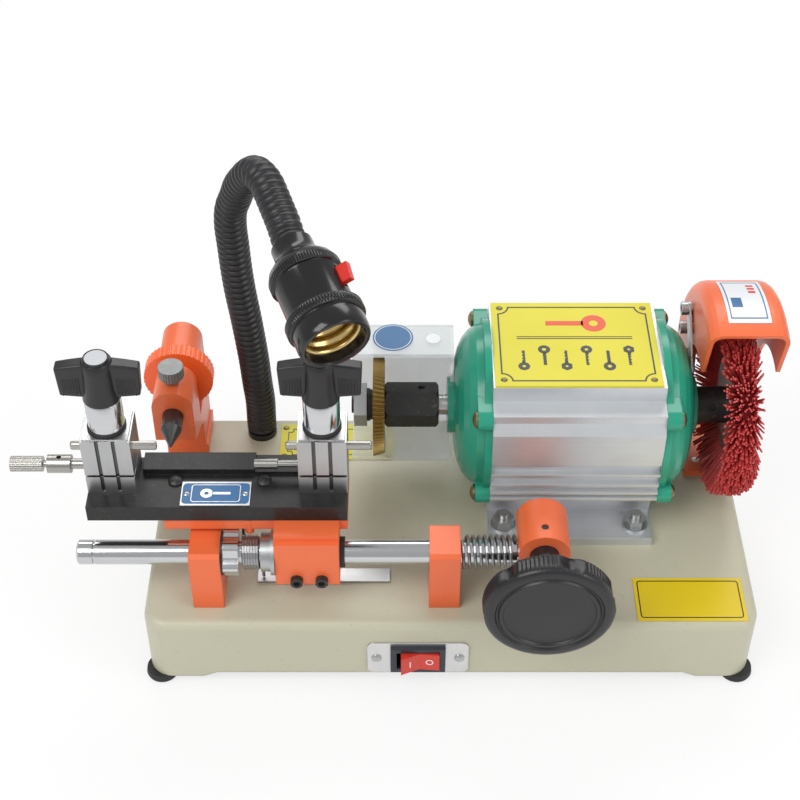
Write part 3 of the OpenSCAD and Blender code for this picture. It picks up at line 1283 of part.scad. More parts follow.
// Middle line of the hose, from the top of the base plate at its foot up to the lamp
hose_path = concat([for (p = [[0, 0, hose_stub_h + gap], [0, 0, 8], [0.2, -1.2, 16], [0.6, -3.4, 30],
    [0, -6.4, 48], [-0.8, -7.7, 68], [-3, -8.4, 97], [-6, -8.5, 128.5], [-7.2, -8.6, 155],
    [-7.5, -9.5, 172.7], [-6.2, -10.5, 182.5], [-3, -12.8, 191.6], [0.2, -16.4, 201.6], [4, -21, 209.3],
    [7.2, -24.6, 214.9], [10.7, -29, 218.9], [13.7, -33.7, 220], [16.8, -38.8, 219.3],
    [19.1, -44, 217.9], [21.4, -49.4, 215.6], [24.2, -56.2, 212.9], [27, -63, 210]])
    [hose_foot[0] + p[0], hose_foot[1] + p[1], base_top + p[2]]],
    [lamp_start - 5 * lamp_axis, lamp_start - hose_end_gap * lamp_axis]);
hose_bend = 11;
module gooseneck_foot() {
    color("#2B2C2E") at_origin() translate([hose_foot[0], hose_foot[1], base_top]) {
        cylinder(r = hose_r - 0.3, h = hose_stub_h);
        translate([0, 0, -base_wall - 9]) cylinder(r = hose_stub_r, h = base_wall + 10);
        translate([0, 0, -base_wall - 5]) cylinder(r = 7.8, h = 5, $fn = 6);
    }
}
module hose_lower() { color("#1B1C1D") at_origin() sweep(hose_path, hose_r, hose_plane, 16, 0, hose_bend); }
module hose_upper() {
    color("#1B1C1D") at_origin() translate(0.1 * tangent(hose_path, hose_bend))
        sweep(hose_path, hose_r, hose_plane, 16, hose_bend);
}
// Turns its children's +Z onto the lamp's axis, from the end of the hose
module on_lamp() { translate(lamp_start) rotate([0, lamp_dip, lamp_turn]) children(); }
module lamp_holder() {
    mouth_r = holder_r - 2.8;
    color("#1E1F20") at_origin() on_lamp() difference() {
        union() {
            rotate_extrude() polygon([[0, -0.5], [hose_r + 1.5, -0.5], [hose_r + 1.5, 6],
                [holder_r - 1, 13],
                [holder_r + 0.9, 15], [holder_r + 0.9, 24], [holder_r, 24.5], [holder_r, holder_l - 19],
                [holder_r + 2.4, holder_l - 18], [holder_r + 2.4, holder_l - 13.5], [holder_r,
                    holder_l - 12.5],
                [holder_r, holder_l], [0, holder_l]]);
        }
        translate([0, 0, socket_t]) cylinder(r = mouth_r, h = holder_l);
        rotate([0, 0, -lever_a]) translate([-holder_r, 0, lever_t]) cube([12, 5, 13], center = true);
    }
}
module lamp_contact() {
    shell_r = holder_r - 3;
    color("#B5893B") at_origin() on_lamp() {
        translate([0, 0, socket_t]) difference() {
            cylinder(r = shell_r, h = holder_l - socket_t - 6);
            translate([0, 0, socket_floor]) cylinder(r = shell_r - 2, h = holder_l);
            translate([0, 0, 2]) cylinder(r = 7, h = holder_l);
        }
        translate([0, 0, socket_t + 1.5]) cylinder(r = 4, h = 3);
    }
}
module lamp_switch() {
    color("#C8281E") at_origin() on_lamp() rotate([0, 0, -lever_a])
        translate([-holder_r - 1.4, 0, lever_t]) rotate([0, lever_rock, 0]) cube([7, 3.8, 10],
            center = true);
}

// ---- the bottom centre of the whole machine, which all nodes are drawn from
origin = [(jaw_left_c - jaw_w / 2 - stop_rod_l + guard_x + guard_w) / 2,
    (knob_y1 - knob_t + motor_y + guard_r) / 2];
module at_origin() {
    translate([-origin[0], -origin[1], 0]) children();
}

base_casting();
rubber_feet();
switch_plate();
switch_body();
switch_rocker();
base_screws();
cord_gland();
run_capacitor();
motor_housing();
motor_stator();
motor_rotor();
motor_bearings();
end_bell_left();
end_bell_right();
motor_fasteners();
label_plates();
plate_rivets();
cutter_arbor();
cutter_wheel();
cutter_washers();
cutter_nut();
brush_hub();
brush_discs();
brush_bristles();
spindle_set_screws();
brush_guard();
guard_post();
guard_bolts();
chip_shield();
tracer_bracket();
tracer_dial();
tracer_bar();
tracer_lock_screw();
shaft_pillars();
rest_strip();
carriage_shaft();
carriage_casting();
carriage_screws();
jaw_bed();
bed_plate();
lower_jaws();
vise_studs();
upper_jaw_left();
upper_jaw_right();
wing_knob_left();
wing_knob_right();
stop_rod_left();
stop_rod_right();
spring_collar();
torsion_spring();
thrust_washers();
buffer_spring();
lever_hub();
feed_knob();
gooseneck_foot();
hose_lower();
hose_upper();
lamp_holder();
lamp_contact();
lamp_switch();
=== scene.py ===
# %% [markdown]
# # Key duplicating machine
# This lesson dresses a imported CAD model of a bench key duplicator. The CAD nodes give every
# rigid shape and its place. Blender adds what the CAD model leaves plain: finishes, bristles,
# the ribs of the hose, moulded knobs and the print on the plates.

import json
import math
import random

import bpy
from mathutils import Matrix, Vector


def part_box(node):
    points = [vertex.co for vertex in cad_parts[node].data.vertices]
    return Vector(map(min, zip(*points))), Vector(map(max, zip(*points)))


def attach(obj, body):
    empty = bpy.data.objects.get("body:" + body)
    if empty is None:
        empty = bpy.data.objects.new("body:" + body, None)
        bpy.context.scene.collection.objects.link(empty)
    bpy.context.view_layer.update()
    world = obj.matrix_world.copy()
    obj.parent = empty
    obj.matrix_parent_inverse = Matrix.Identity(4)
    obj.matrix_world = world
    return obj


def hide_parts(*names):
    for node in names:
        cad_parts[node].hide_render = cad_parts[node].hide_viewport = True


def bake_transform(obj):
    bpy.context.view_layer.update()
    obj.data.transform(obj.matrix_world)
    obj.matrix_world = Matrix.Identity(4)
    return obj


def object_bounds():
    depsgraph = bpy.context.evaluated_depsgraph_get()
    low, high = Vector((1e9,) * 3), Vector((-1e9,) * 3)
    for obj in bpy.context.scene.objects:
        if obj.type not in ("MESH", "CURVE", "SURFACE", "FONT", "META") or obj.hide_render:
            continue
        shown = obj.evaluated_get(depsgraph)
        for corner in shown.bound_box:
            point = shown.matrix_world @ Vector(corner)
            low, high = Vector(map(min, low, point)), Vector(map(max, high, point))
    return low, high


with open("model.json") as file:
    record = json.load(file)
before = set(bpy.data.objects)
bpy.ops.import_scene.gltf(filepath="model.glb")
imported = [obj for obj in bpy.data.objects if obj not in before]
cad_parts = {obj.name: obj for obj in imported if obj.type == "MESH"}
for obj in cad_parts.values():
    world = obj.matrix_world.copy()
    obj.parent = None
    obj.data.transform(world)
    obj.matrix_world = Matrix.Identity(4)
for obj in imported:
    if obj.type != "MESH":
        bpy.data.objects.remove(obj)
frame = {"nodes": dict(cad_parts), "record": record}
cad_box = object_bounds()
nodes = frame["nodes"]

# %% [markdown]
# ## Camera
# The camera comes first, so that every later choice can be judged in the real view. It stands
# in front of the machine and looks down by 43 degrees, like someone at the bench. A long lens
# keeps the perspective calm.

# %% Camera
bpy.ops.object.select_all(action="DESELECT")
cad_mid = (cad_box[0] + cad_box[1]) / 2
bpy.ops.object.camera_add(location=(cad_mid.x + 0.00015, cad_mid.y - 0.66345, 0.7687),
                          rotation=(math.radians(47), 0, 0))
camera = bpy.context.object
camera.name = "bench_camera"
camera.data.lens = 73.04
camera.data.sensor_width = 36.0
bpy.context.scene.camera = camera
print("camera lens:", camera.data.lens)

# %% [markdown]
# ## Shader maths as Python
# Node trees are easier to read as sums. `Value` wraps one output socket and overloads the
# operators, so `0.3 + mask * 0.5` adds its Math nodes. `Finish` owns one material and its
# single method `add` makes any other node.


# %% Shader helper
class Value:
    """One output socket. Sums and products of it add Math nodes."""

    def __init__(self, finish, socket):
        self.finish = finish
        self.socket = socket

    def sum(self, operation, first, second):
        return self.finish.add("ShaderNodeMath", {"operation": operation}, {0: first, 1: second})

    def __add__(self, other):
        return self.sum("ADD", self, other)

    def __mul__(self, other):
        return self.sum("MULTIPLY", self, other)

    __radd__ = __add__
    __rmul__ = __mul__


class Finish:
    """A material with one shader, and the method that adds every other node."""

    def __init__(self, name):
        self.material = bpy.data.materials.new(name)
        self.material.use_nodes = True
        self.tree = self.material.node_tree
        self.shader = self.tree.nodes["Principled BSDF"]
        self.output = self.tree.nodes["Material Output"]

    def add(self, kind, settings=None, inputs=None, output=0):
        node = self.tree.nodes.new(kind)
        for key, value in (settings or {}).items():
            if key == "stops":
                ramp = node.color_ramp
                while len(ramp.elements) < len(value):
                    ramp.elements.new(1.0)
                for element, (place, colour) in zip(ramp.elements, value):
                    element.position = place
                    element.color = (*colour, 1.0)
            else:
                setattr(node, key, value)
        for key, value in (inputs or {}).items():
            self.feed(node.inputs[key], value)
        return Value(self, node.outputs[output])

    def feed(self, socket, value):
        if isinstance(value, Value):
            self.tree.links.new(value.socket, socket)
        elif isinstance(value, tuple) and len(value) == 3 and socket.type == "RGBA":
            socket.default_value = (*value, 1.0)
        else:
            socket.default_value = value

    def place(self):
        return self.add("ShaderNodeTexCoord", output=3)

    def noise(self, scale, detail=3.0, stretch=(1.0, 1.0, 1.0), rough=0.5):
        place = self.add("ShaderNodeMapping", {}, {"Vector": self.place(), "Scale": stretch})
        return self.add("ShaderNodeTexNoise", {}, {"Vector": place, "Scale": scale,
                                                   "Detail": detail, "Roughness": rough})

    def blend(self, amount, first, second):
        """Mixes two colours by amount."""
        return self.add("ShaderNodeMix", {"data_type": "RGBA"},
                        {0: amount, 6: first, 7: second}, output=2)

    def bump(self, height, distance, normal=None):
        inputs = {"Height": height, "Distance": distance, "Strength": 1.0}
        if normal:
            inputs["Normal"] = normal
        return self.add("ShaderNodeBump", {}, inputs)

    def soft_edge(self, radius):
        return self.add("ShaderNodeBevel", {"samples": 4}, {"Radius": radius})

    def surface(self, **values):
        for key, value in values.items():
            self.feed(self.shader.inputs[key.replace("_", " ").title()], value)
        return self.material


# %% [markdown]
# ## Painted castings
# The base is a casting under a thick stone-grey enamel: it has a faint orange peel, and dust
# specks are scattered over it. The orange and green parts wear the same kind of paint, with more
# gloss. A very fine noise drives the bump, and a broad one shifts the colour a little.

# %% Paint


def enamel(name, colour, shade, roughness, peel=0.00006, edge=0.0008, dust=0.25):
    paint = Finish(name)
    broad = paint.noise(18.0, 4.0)
    dirt = paint.noise(260.0, 4.0, rough=0.7)
    specks = paint.add("ShaderNodeValToRGB", {"stops": [(0.62, (0, 0, 0)), (0.74, (1, 1, 1))]}, {0: dirt})
    body = paint.blend(broad * 0.8, colour, shade)
    skin = paint.noise(900.0, 2.0)
    return paint.surface(
        base_color=paint.blend(specks * dust, body, tuple(c * 0.7 for c in shade)),
        roughness=roughness + broad * 0.12,
        normal=paint.bump(skin, peel, normal=paint.soft_edge(edge)),
    )


stone_enamel = enamel("stone_enamel", (0.53, 0.515, 0.39), (0.46, 0.44, 0.325), 0.34, peel=0.00012,
                      edge=0.0015, dust=0.5)
orange_enamel = enamel("orange_enamel", (0.84, 0.165, 0.052), (0.74, 0.125, 0.038), 0.27)
green_enamel = enamel("green_enamel", (0.022, 0.33, 0.21), (0.014, 0.26, 0.165), 0.15)

# %% [markdown]
# ## Bare and plated metal
# Most metal here is steel with a different last step: ground, turned, chromed, zinc plated or
# blackened. All of it shares one recipe. Stretched noise makes the grinding lines, and the
# same lines drive the roughness, so that highlights streak along the part.

# %% Metal


def metal(name, colour, roughness, stretch=(1.0, 1.0, 1.0), lines=500.0, depth=0.00002,
          edge=0.0004, metallic=1.0):
    steel = Finish(name)
    streak = steel.noise(lines, 3.0, stretch)
    cloud = steel.noise(60.0, 4.0)
    dark = tuple(channel * 0.72 for channel in colour)
    return steel.surface(
        base_color=steel.blend(cloud * 0.5 + streak * 0.25, colour, dark),
        metallic=metallic,
        roughness=roughness * 0.75 + streak * (roughness * 0.35) + cloud * 0.08,
        normal=steel.bump(streak, depth, normal=steel.soft_edge(edge)),
    )


chrome = metal("chrome", (0.66, 0.67, 0.68), 0.13, (0.04, 1, 1), 260.0, depth=0.00001)
ground_steel = metal("ground_steel", (0.54, 0.545, 0.545), 0.33, (1, 1, 0.06))
turned_steel = metal("turned_steel", (0.62, 0.62, 0.61), 0.26, (1.5, 0.1, 0.1))
extruded_aluminium = metal("extruded_aluminium", (0.73, 0.755, 0.785), 0.42, (0.03, 1, 1), 420.0,
                           edge=0.0005, metallic=0.72)
zinc = metal("zinc", (0.54, 0.555, 0.56), 0.33, lines=300.0)
nickel = metal("nickel", (0.44, 0.43, 0.40), 0.26, (0.1, 1, 1))
# Dark steel is the tracer bar's own finish. On the jaws the same finish is painted shade in the grooves.
dark_steel_and_groove_shade = metal("dark_steel_and_groove_shade", (0.13, 0.13, 0.13), 0.4, (1, 1, 0.1))
disc_steel = metal("disc_steel", (0.24, 0.24, 0.25), 0.42, (0.2, 1, 1))
cast_zinc = metal("cast_zinc", (0.36, 0.37, 0.37), 0.55, lines=300.0, depth=0.00004)
spring_steel = metal("spring_steel", (0.42, 0.42, 0.43), 0.3)
bronze_tool_steel = metal("bronze_tool_steel", (0.36, 0.25, 0.085), 0.4, (2, 0.2, 0.2), depth=0.00004)
brass = metal("brass", (0.80, 0.60, 0.26), 0.24, (1, 1, 1), 200.0)
dull_brass = metal("dull_brass", (0.30, 0.26, 0.14), 0.4, lines=300.0)
copper_wire = metal("copper_wire", (0.70, 0.32, 0.15), 0.35, (4, 0.3, 0.3), 300.0, depth=0.0002)

# %% [markdown]
# ## Blackened steel
# The jaw bed, the arbor and the hub are blackened in a hot salt bath. The film is thin, so it
# stays slightly metallic, and it goes brown or bare in tiny specks where it was handled.

# %% Black oxide


def black_oxide(name, level, roughness, rust=0.15):
    film = Finish(name)
    cloud = film.noise(90.0, 5.0, rough=0.65)
    grain = film.noise(1100.0, 2.0)
    specks = film.add("ShaderNodeValToRGB", {"stops": [(0.60, (0, 0, 0)), (0.72, (1, 1, 1))]},
                      {0: film.noise(420.0, 4.0)})
    body = film.blend(cloud, (level, level, level * 1.05), (level * 2.4, level * 2.3, level * 2.2))
    return film.surface(
        base_color=film.blend(specks * rust, body, (0.20, 0.15, 0.11)),
        metallic=0.35,
        roughness=roughness + cloud * 0.2,
        normal=film.bump(grain, 0.00003, normal=film.soft_edge(0.0005)),
    )


black_bed = black_oxide("black_bed", 0.013, 0.3)
black_arbor = black_oxide("black_arbor", 0.018, 0.28, rust=0.35)

# %% [markdown]
# ## Plastic and rubber
# Knobs and the lamp holder are moulded. A moulding has a fine texture from its tool, and
# slightly uneven gloss. The hose and the feet are duller, with more grain.

# %% Plastic


def moulded(name, colour, roughness, grain=0.00002, scale=900.0):
    plastic = Finish(name)
    cloud = plastic.noise(45.0, 4.0)
    skin = plastic.noise(scale, 3.0)
    pale = tuple(channel * 1.25 + 0.004 for channel in colour)
    return plastic.surface(
        base_color=plastic.blend(cloud * 0.7, colour, pale),
        roughness=roughness + cloud * 0.14 + skin * 0.05,
        normal=plastic.bump(skin, grain, normal=plastic.soft_edge(0.0005)),
    )


black_moulding = moulded("black_moulding", (0.010, 0.010, 0.012), 0.26)
cap_silver = moulded("cap_silver", (0.44, 0.46, 0.48), 0.3)
black_bakelite = moulded("black_bakelite", (0.006, 0.006, 0.007), 0.07, grain=0.000006)
hose_plastic = moulded("hose_plastic", (0.011, 0.011, 0.013), 0.3)
foot_rubber = moulded("foot_rubber", (0.014, 0.014, 0.014), 0.5, grain=0.00005)
red_moulding = moulded("red_moulding", (0.62, 0.025, 0.015), 0.16)
red_rocker = moulded("red_rocker", (0.56, 0.03, 0.016), 0.18, grain=0.00001)
orange_moulding = moulded("orange_moulding", (0.86, 0.13, 0.025), 0.2)
switch_moulding = moulded("switch_moulding", (0.02, 0.024, 0.034), 0.3)
white_moulding = moulded("white_moulding", (0.70, 0.70, 0.67), 0.4)
# Dark red for the ring inside the brush: painted shade for the dense inside of the bristles.
nylon_shade_core = moulded("nylon_shade_core", (0.30, 0.012, 0.016), 0.6, grain=0.0003, scale=500.0)

# %% [markdown]
# ## Printed plates
# The plates are printed aluminium: the ink is smooth and a little glossy, and its tone
# varies slightly from place to place. Each colour is one ink over the same sheet.

# %% Print


def ink(name, colour, roughness=0.32):
    sheet = Finish(name)
    cloud = sheet.noise(24.0, 3.0)
    dust = sheet.noise(700.0, 3.0)
    shade = tuple(channel * 0.86 for channel in colour)
    return sheet.surface(
        base_color=sheet.blend(cloud * 0.7 + dust * 0.15, colour, shade),
        roughness=roughness + cloud * 0.1,
        normal=sheet.bump(dust, 0.000006),
    )


yellow_ink = ink("yellow_ink", (0.68, 0.61, 0.024), 0.42)
warm_yellow_ink = ink("warm_yellow_ink", (0.78, 0.58, 0.012))
black_ink = ink("black_ink", (0.012, 0.012, 0.012))
orange_ink = ink("orange_ink", (0.70, 0.07, 0.01))
blue_ink = ink("blue_ink", (0.012, 0.12, 0.30))
white_ink = ink("white_ink", (0.78, 0.80, 0.82), 0.25)
silver_ink = metal("silver_ink", (0.80, 0.80, 0.80), 0.32)

# %% [markdown]
# ## Clear hood
# The chip hood is moulded in clear plastic. Real sheet is nearly invisible from the front and
# greyer at its edges, so a Layer Weight node raises the alpha where it is seen edge on.

# %% Clear plastic


def clear_sheet(name, tint, haze):
    sheet = Finish(name)
    scratches = sheet.noise(160.0, 5.0, (1, 1, 0.2))
    edge_on = sheet.add("ShaderNodeLayerWeight", {}, {"Blend": 0.35}, output=1)
    return sheet.surface(
        base_color=tint,
        roughness=0.05 + scratches * 0.12,
        alpha=haze + edge_on * 0.4 + scratches * 0.06,
        normal=sheet.bump(scratches, 0.00002),
    )


clear_hood = clear_sheet("clear_hood", (0.74, 0.78, 0.79), 0.34)
print("finishes:", len(bpy.data.materials))

# %% [markdown]
# ## Dressing the CAD nodes
# A CAD node keeps its mesh and only gets finishes. Some nodes hold two finishes, such as a
# knurled orange dial beside a black scale. Those faces are picked by their place.

# %% Dress the nodes


def dress(name, finish, *others):
    """Gives a node its finish, and other finishes to the faces that a test picks by place."""
    mesh = nodes[name].data
    mesh.materials.clear()
    mesh.materials.append(finish)
    for material, test in others:
        mesh.materials.append(material)
        for face in mesh.polygons:
            if test(face.center):
                face.material_index = len(mesh.materials) - 1


def middle(name):
    low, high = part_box(name)
    return (low + high) / 2


spindle_y, spindle_z = middle("motor_rotor").y, middle("motor_rotor").z
stator_mid = middle("motor_stator").x
tracer_x = middle("tracer_bar").x
collar_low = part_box("spring_collar")[0]
switch_low, switch_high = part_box("switch_plate")
dial_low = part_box("tracer_dial")[0]
clamp_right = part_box("thrust_washers")[1].x - 0.0029

dress("base_casting", stone_enamel)
for name in ("brush_guard", "guard_post", "tracer_bracket", "shaft_pillars", "carriage_casting",
             "lever_hub"):
    dress(name, orange_enamel)
for name in ("end_bell_left", "end_bell_right"):
    dress(name, green_enamel)
for name in ("rubber_feet", "cord_gland"):
    dress(name, foot_rubber)
for name in ("base_screws", "guard_bolts", "cutter_nut", "motor_bearings"):
    dress(name, zinc)
dress("tracer_lock_screw", cast_zinc)
for name in ("cutter_arbor", "cutter_washers", "brush_hub", "spindle_set_screws", "carriage_screws"):
    dress(name, black_arbor)
for name in ("rest_strip", "vise_studs"):
    dress(name, ground_steel)
dress("brush_discs", disc_steel)
for name in ("torsion_spring", "buffer_spring"):
    dress(name, spring_steel)
dress("motor_housing", extruded_aluminium)
dress("motor_stator", spring_steel, (copper_wire, lambda c: abs(c.x - stator_mid) > 0.0291))
dress("motor_rotor", turned_steel)
dress("motor_fasteners", zinc, (dull_brass, lambda c: c.z > 0.07))
dress("run_capacitor", white_moulding)
dress("switch_plate", silver_ink)
dress("switch_body", switch_moulding, (brass, lambda c: c.y > switch_low.y + 0.0197))
dress("switch_rocker", red_rocker)
dress("label_plates", yellow_ink, (warm_yellow_ink, lambda c: c.z < 0.06 and c.y < -0.03))
dress("plate_rivets", dull_brass)
dress("chip_shield", clear_hood)
dress("tracer_dial", orange_moulding, (
    black_moulding,
    lambda c: c.y < dial_low.y + 0.0021 and math.hypot(c.x - tracer_x, c.z - spindle_z) < 0.0116))
dress("tracer_bar", dark_steel_and_groove_shade)
dress("carriage_shaft", chrome)
dress("spring_collar", chrome)
dress("jaw_bed", black_bed)
dress("bed_plate", zinc)
dress("thrust_washers", zinc, (black_arbor, lambda c: c.x < collar_low.x),
      (foot_rubber, lambda c: c.x > clamp_right))
jaw_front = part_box("lower_jaws")[0].y
jaw_centres = [middle("wing_knob_" + side).x for side in ("left", "right")]


def in_groove(c):
    """Whether a face lies inside one of the two grooves down the front of each jaw."""
    aside = min(abs(c.x - x) for x in jaw_centres)
    return 0.0002 < c.y - jaw_front < 0.0011 and abs(aside - 0.0045) < 0.0011


# Faces in the grooves of the lower and upper jaws get the dark steel finish as painted shade in the recess.
dress("lower_jaws", ground_steel, (dark_steel_and_groove_shade, in_groove))
for side in ("left", "right"):
    dress("stop_rod_" + side, nickel)
    low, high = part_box("upper_jaw_" + side)
    jaw_mid = middle("wing_knob_" + side).x
    dress("upper_jaw_" + side, ground_steel,
          (nickel, lambda c, x=jaw_mid: abs(c.x - x) > 0.0136), (dark_steel_and_groove_shade, in_groove))
dress("gooseneck_foot", black_moulding)
dress("lamp_switch", red_moulding)
print("dressed nodes:", len(nodes))

# %% [markdown]
# ## Tools for new pieces
# New pieces start from a primitive or a spun profile, as in hand modelling. `turned` spins a
# half outline about an axis, which suits every knob, ring and thread here. `finish_piece`
# smooths the piece, gives it its material and ties it to its body.

# %% Modelling helpers


def pick(piece):
    """Makes one piece the only selected and active object."""
    bpy.ops.object.select_all(action="DESELECT")
    piece.select_set(True)
    bpy.context.view_layer.objects.active = piece
    return piece


def edit(piece, *steps):
    """Runs edit mode operators on the whole piece, given as (operator, settings)."""
    pick(piece)
    bpy.ops.object.mode_set(mode="EDIT")
    bpy.ops.mesh.select_all(action="SELECT")
    for operator, settings in steps:
        getattr(bpy.ops.mesh, operator)(**settings)
    bpy.ops.object.mode_set(mode="OBJECT")
    return piece


def primitive(kind, name, scale=(1, 1, 1), **options):
    bpy.ops.object.select_all(action="DESELECT")
    getattr(bpy.ops.mesh, "primitive_" + kind + "_add")(**options)
    piece = bpy.context.object
    piece.name = name
    piece.scale = scale
    bpy.ops.object.transform_apply(location=True, rotation=True, scale=True)
    return piece


def modify(piece, kind, **settings):
    pick(piece)
    modifier = piece.modifiers.new(kind.lower(), kind)
    for key, value in settings.items():
        setattr(modifier, key, value)
    bpy.ops.object.modifier_apply(modifier=modifier.name)
    return piece


def join(name, *pieces):
    pick(pieces[0])
    for piece in pieces[1:]:
        piece.select_set(True)
    bpy.ops.object.join()
    pieces[0].name = name
    return pieces[0]


def facing(axis, centre=(0, 0, 0)):
    """The matrix that carries +Z onto an axis and the origin to a centre."""
    return Matrix.Translation(centre) @ Vector(axis).to_track_quat("Z", "Y").to_matrix().to_4x4()


def turned(name, profile, place, steps=96):
    """Spins a profile of (radius, along) pairs about Z, then puts it in place."""
    mesh = bpy.data.meshes.new(name)
    mesh.from_pydata([(r, 0, z) for r, z in profile], [(i, i + 1) for i in range(len(profile) - 1)], [])
    piece = bpy.data.objects.new(name, mesh)
    bpy.context.scene.collection.objects.link(piece)
    edit(piece, ("spin", {"steps": steps, "angle": math.tau, "center": (0, 0, 0), "axis": (0, 0, 1)}),
         ("remove_doubles", {"threshold": 0.00001}), ("normals_make_consistent", {"inside": False}))
    mesh.transform(place)
    return piece


def finish_piece(piece, material, body, stands_for=(), angle=40):
    pick(piece)
    bpy.ops.object.shade_smooth_by_angle(angle=math.radians(angle))
    if not piece.data.materials:
        piece.data.materials.append(material)
    if body:
        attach(piece, body)
    if stands_for:
        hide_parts(*stands_for)
    return piece


# %% [markdown]
# ## Bristles
# The deburring brush is a disc of stiff red nylon. The strands leave the hub close together
# and splay sideways at the rim. One tapered strand is modelled, then copied many times with
# a seeded random lean, so that the result is the same on each run. A plain ring between the
# strands keeps the light from passing through the disc. It is a darker red than the strands,
# as painted shade for the dense inside of the brush. A noise also darkens the strands' red in
# patches, as painted shade for the depth of the brush.

# %% Brush
low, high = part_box("brush_bristles")
brush_mid = (low + high) / 2
rim_half = (high.x - low.x) / 2 * 0.78
brush_radius = (high.z - low.z) / 2
disc_low, disc_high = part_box("brush_discs")
root_mid = (disc_low.x + disc_high.x) / 2
strand = primitive("cone", "strand", vertices=4, radius1=0.0009, radius2=0.00062, depth=1.0,
                   location=(0, 0, 0.5))
strand_points = [v.co.copy() for v in strand.data.vertices]
strand_faces = [tuple(f.vertices) for f in strand.data.polygons if f.normal.z > -0.9]
bpy.data.objects.remove(strand)

dice = random.Random(7)
points, faces = [], []
root_radius = 0.0302
rows, strands_in_row = 15, 112
for row in range(rows):
    share = (row + 0.5) / rows * 2 - 1
    for step in range(strands_in_row):
        turn = math.tau * (step + row * 0.37 + dice.uniform(-0.35, 0.35)) / strands_in_row
        lean = share + dice.uniform(-0.12, 0.12)
        tip_radius = brush_radius - 0.0008 - abs(share) ** 3 * 0.003 - dice.uniform(0, 0.0022)
        root = Vector((root_mid + share * 0.0034, 0, 0))
        tip_x = brush_mid.x - 0.0022 + max(-1, min(1, lean)) * (rim_half - 0.0009)
        start = Vector((root.x, math.cos(turn) * root_radius, math.sin(turn) * root_radius))
        swirl = turn + dice.uniform(-0.05, 0.05)
        end = Vector((tip_x, math.cos(swirl) * tip_radius, math.sin(swirl) * tip_radius))
        place = facing(end - start, start) @ Matrix.Diagonal((1, 1, (end - start).length, 1))
        base = len(points)
        points += [place @ p + Vector((0, spindle_y, spindle_z)) for p in strand_points]
        faces += [tuple(base + i for i in f) for f in strand_faces]
mesh = bpy.data.meshes.new("bristles")
mesh.from_pydata(points, [], faces)
bristles = bpy.data.objects.new("bristles", mesh)
bpy.context.scene.collection.objects.link(bristles)

nylon = Finish("red_nylon")
# This noise darkens the red in patches: painted shade for the depth of the brush.
depth = nylon.noise(240.0, 3.0)
nylon_red = nylon.blend(depth, (0.70, 0.085, 0.08), (0.47, 0.045, 0.045))
nylon.surface(base_color=nylon_red, roughness=0.34 + depth * 0.25,
              normal=nylon.bump(nylon.noise(1500.0, 2.0), 0.00002))
finish_piece(bristles, nylon.material, "spindle", ("brush_bristles",), 20)

along = [(0.0095, -0.0028), (0.0305, -0.0028), (0.043, -0.0058), (0.043, 0.0034),
         (0.0305, 0.0028), (0.0095, 0.0028)]
# The ring is darker red than the strands: painted shade for the inside of the brush.
core = turned("bristle_shade_core", along, facing((1, 0, 0), (root_mid, spindle_y, spindle_z)))
finish_piece(core, nylon_shade_core, "spindle")
print("strands:", len(faces) // len(strand_faces))

# %% [markdown]
# ## Cutter
# The cutter is a hard steel disc with a row of fine slanted teeth on a bevelled edge. A
# many-sided cylinder is enough: its vertices already stand where the teeth are, and every
# third one is pulled in to form the gullets.

# %% Cutter
low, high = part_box("cutter_wheel")
cutter_radius = (high.z - low.z) / 2
rim_points = 216
cutter = primitive("cylinder", "toothed_cutter", vertices=rim_points, radius=cutter_radius,
                   depth=high.x - low.x)
for vertex in cutter.data.vertices:
    angle = math.atan2(vertex.co.y, vertex.co.x) + (0.05 if vertex.co.z > 0 else 0)
    tooth = round(angle / math.tau * rim_points) % 3
    gullet = (1.0, 0.975, 0.94)[tooth]
    taper = 0.93 if vertex.co.z > 0 else 1.0
    vertex.co.x *= gullet * taper
    vertex.co.y *= gullet * taper
cutter.data.transform(facing((1, 0, 0), ((low.x + high.x) / 2, spindle_y, spindle_z)))
bore = primitive("cylinder", "bore", vertices=64, radius=0.00506, depth=0.03)
bore.data.transform(facing((1, 0, 0), ((low.x + high.x) / 2, spindle_y, spindle_z)))
modify(cutter, "BOOLEAN", object=bore, operation="DIFFERENCE")
bpy.data.objects.remove(bore)
finish_piece(cutter, bronze_tool_steel, "spindle", ("cutter_wheel",), 25)

# %% [markdown]
# ## Gooseneck
# The hose has a moulded rib every few millimetres. One rib is turned, an Array modifier
# repeats it along Z, and a Curve modifier bends the straight tube along the route. The route
# repeats the list of points in the CAD source. The piece crosses one joint.

# %% Ribbed hose
record = frame["record"]
socket = next(m for m in record["mounts"] if m["name"] == "lamp_socket")
lamp_axis = Vector(socket["axis"])
thread_end = 0.0595
lamp_start = Vector(socket["pos_m"]) - lamp_axis * (thread_end - socket["dims"]["length_mm"] / 2000)
foot = middle("gooseneck_foot")
foot.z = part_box("gooseneck_foot")[1].z - 0.004
rise = [(0, 0, 4.5), (0, 0, 8), (0.2, -1.2, 16), (0.6, -3.4, 30), (0, -6.4, 48), (-0.8, -7.7, 68),
        (-3, -8.4, 97), (-6, -8.5, 128.5), (-7.2, -8.6, 155), (-7.5, -9.5, 172.7), (-6.2, -10.5, 182.5),
        (-3, -12.8, 191.6), (0.2, -16.4, 201.6), (4, -21, 209.3), (7.2, -24.6, 214.9),
        (10.7, -29, 218.9), (13.7, -33.7, 220), (16.8, -38.8, 219.3), (19.1, -44, 217.9),
        (21.4, -49.4, 215.6), (24.2, -56.2, 212.9), (27, -63, 210)]
route = [foot + Vector(step) * 0.001 for step in rise] + [lamp_start - lamp_axis * 0.005, lamp_start]
hose_radius = 0.0093
data = bpy.data.curves.new("route", "CURVE")
data.dimensions = "3D"
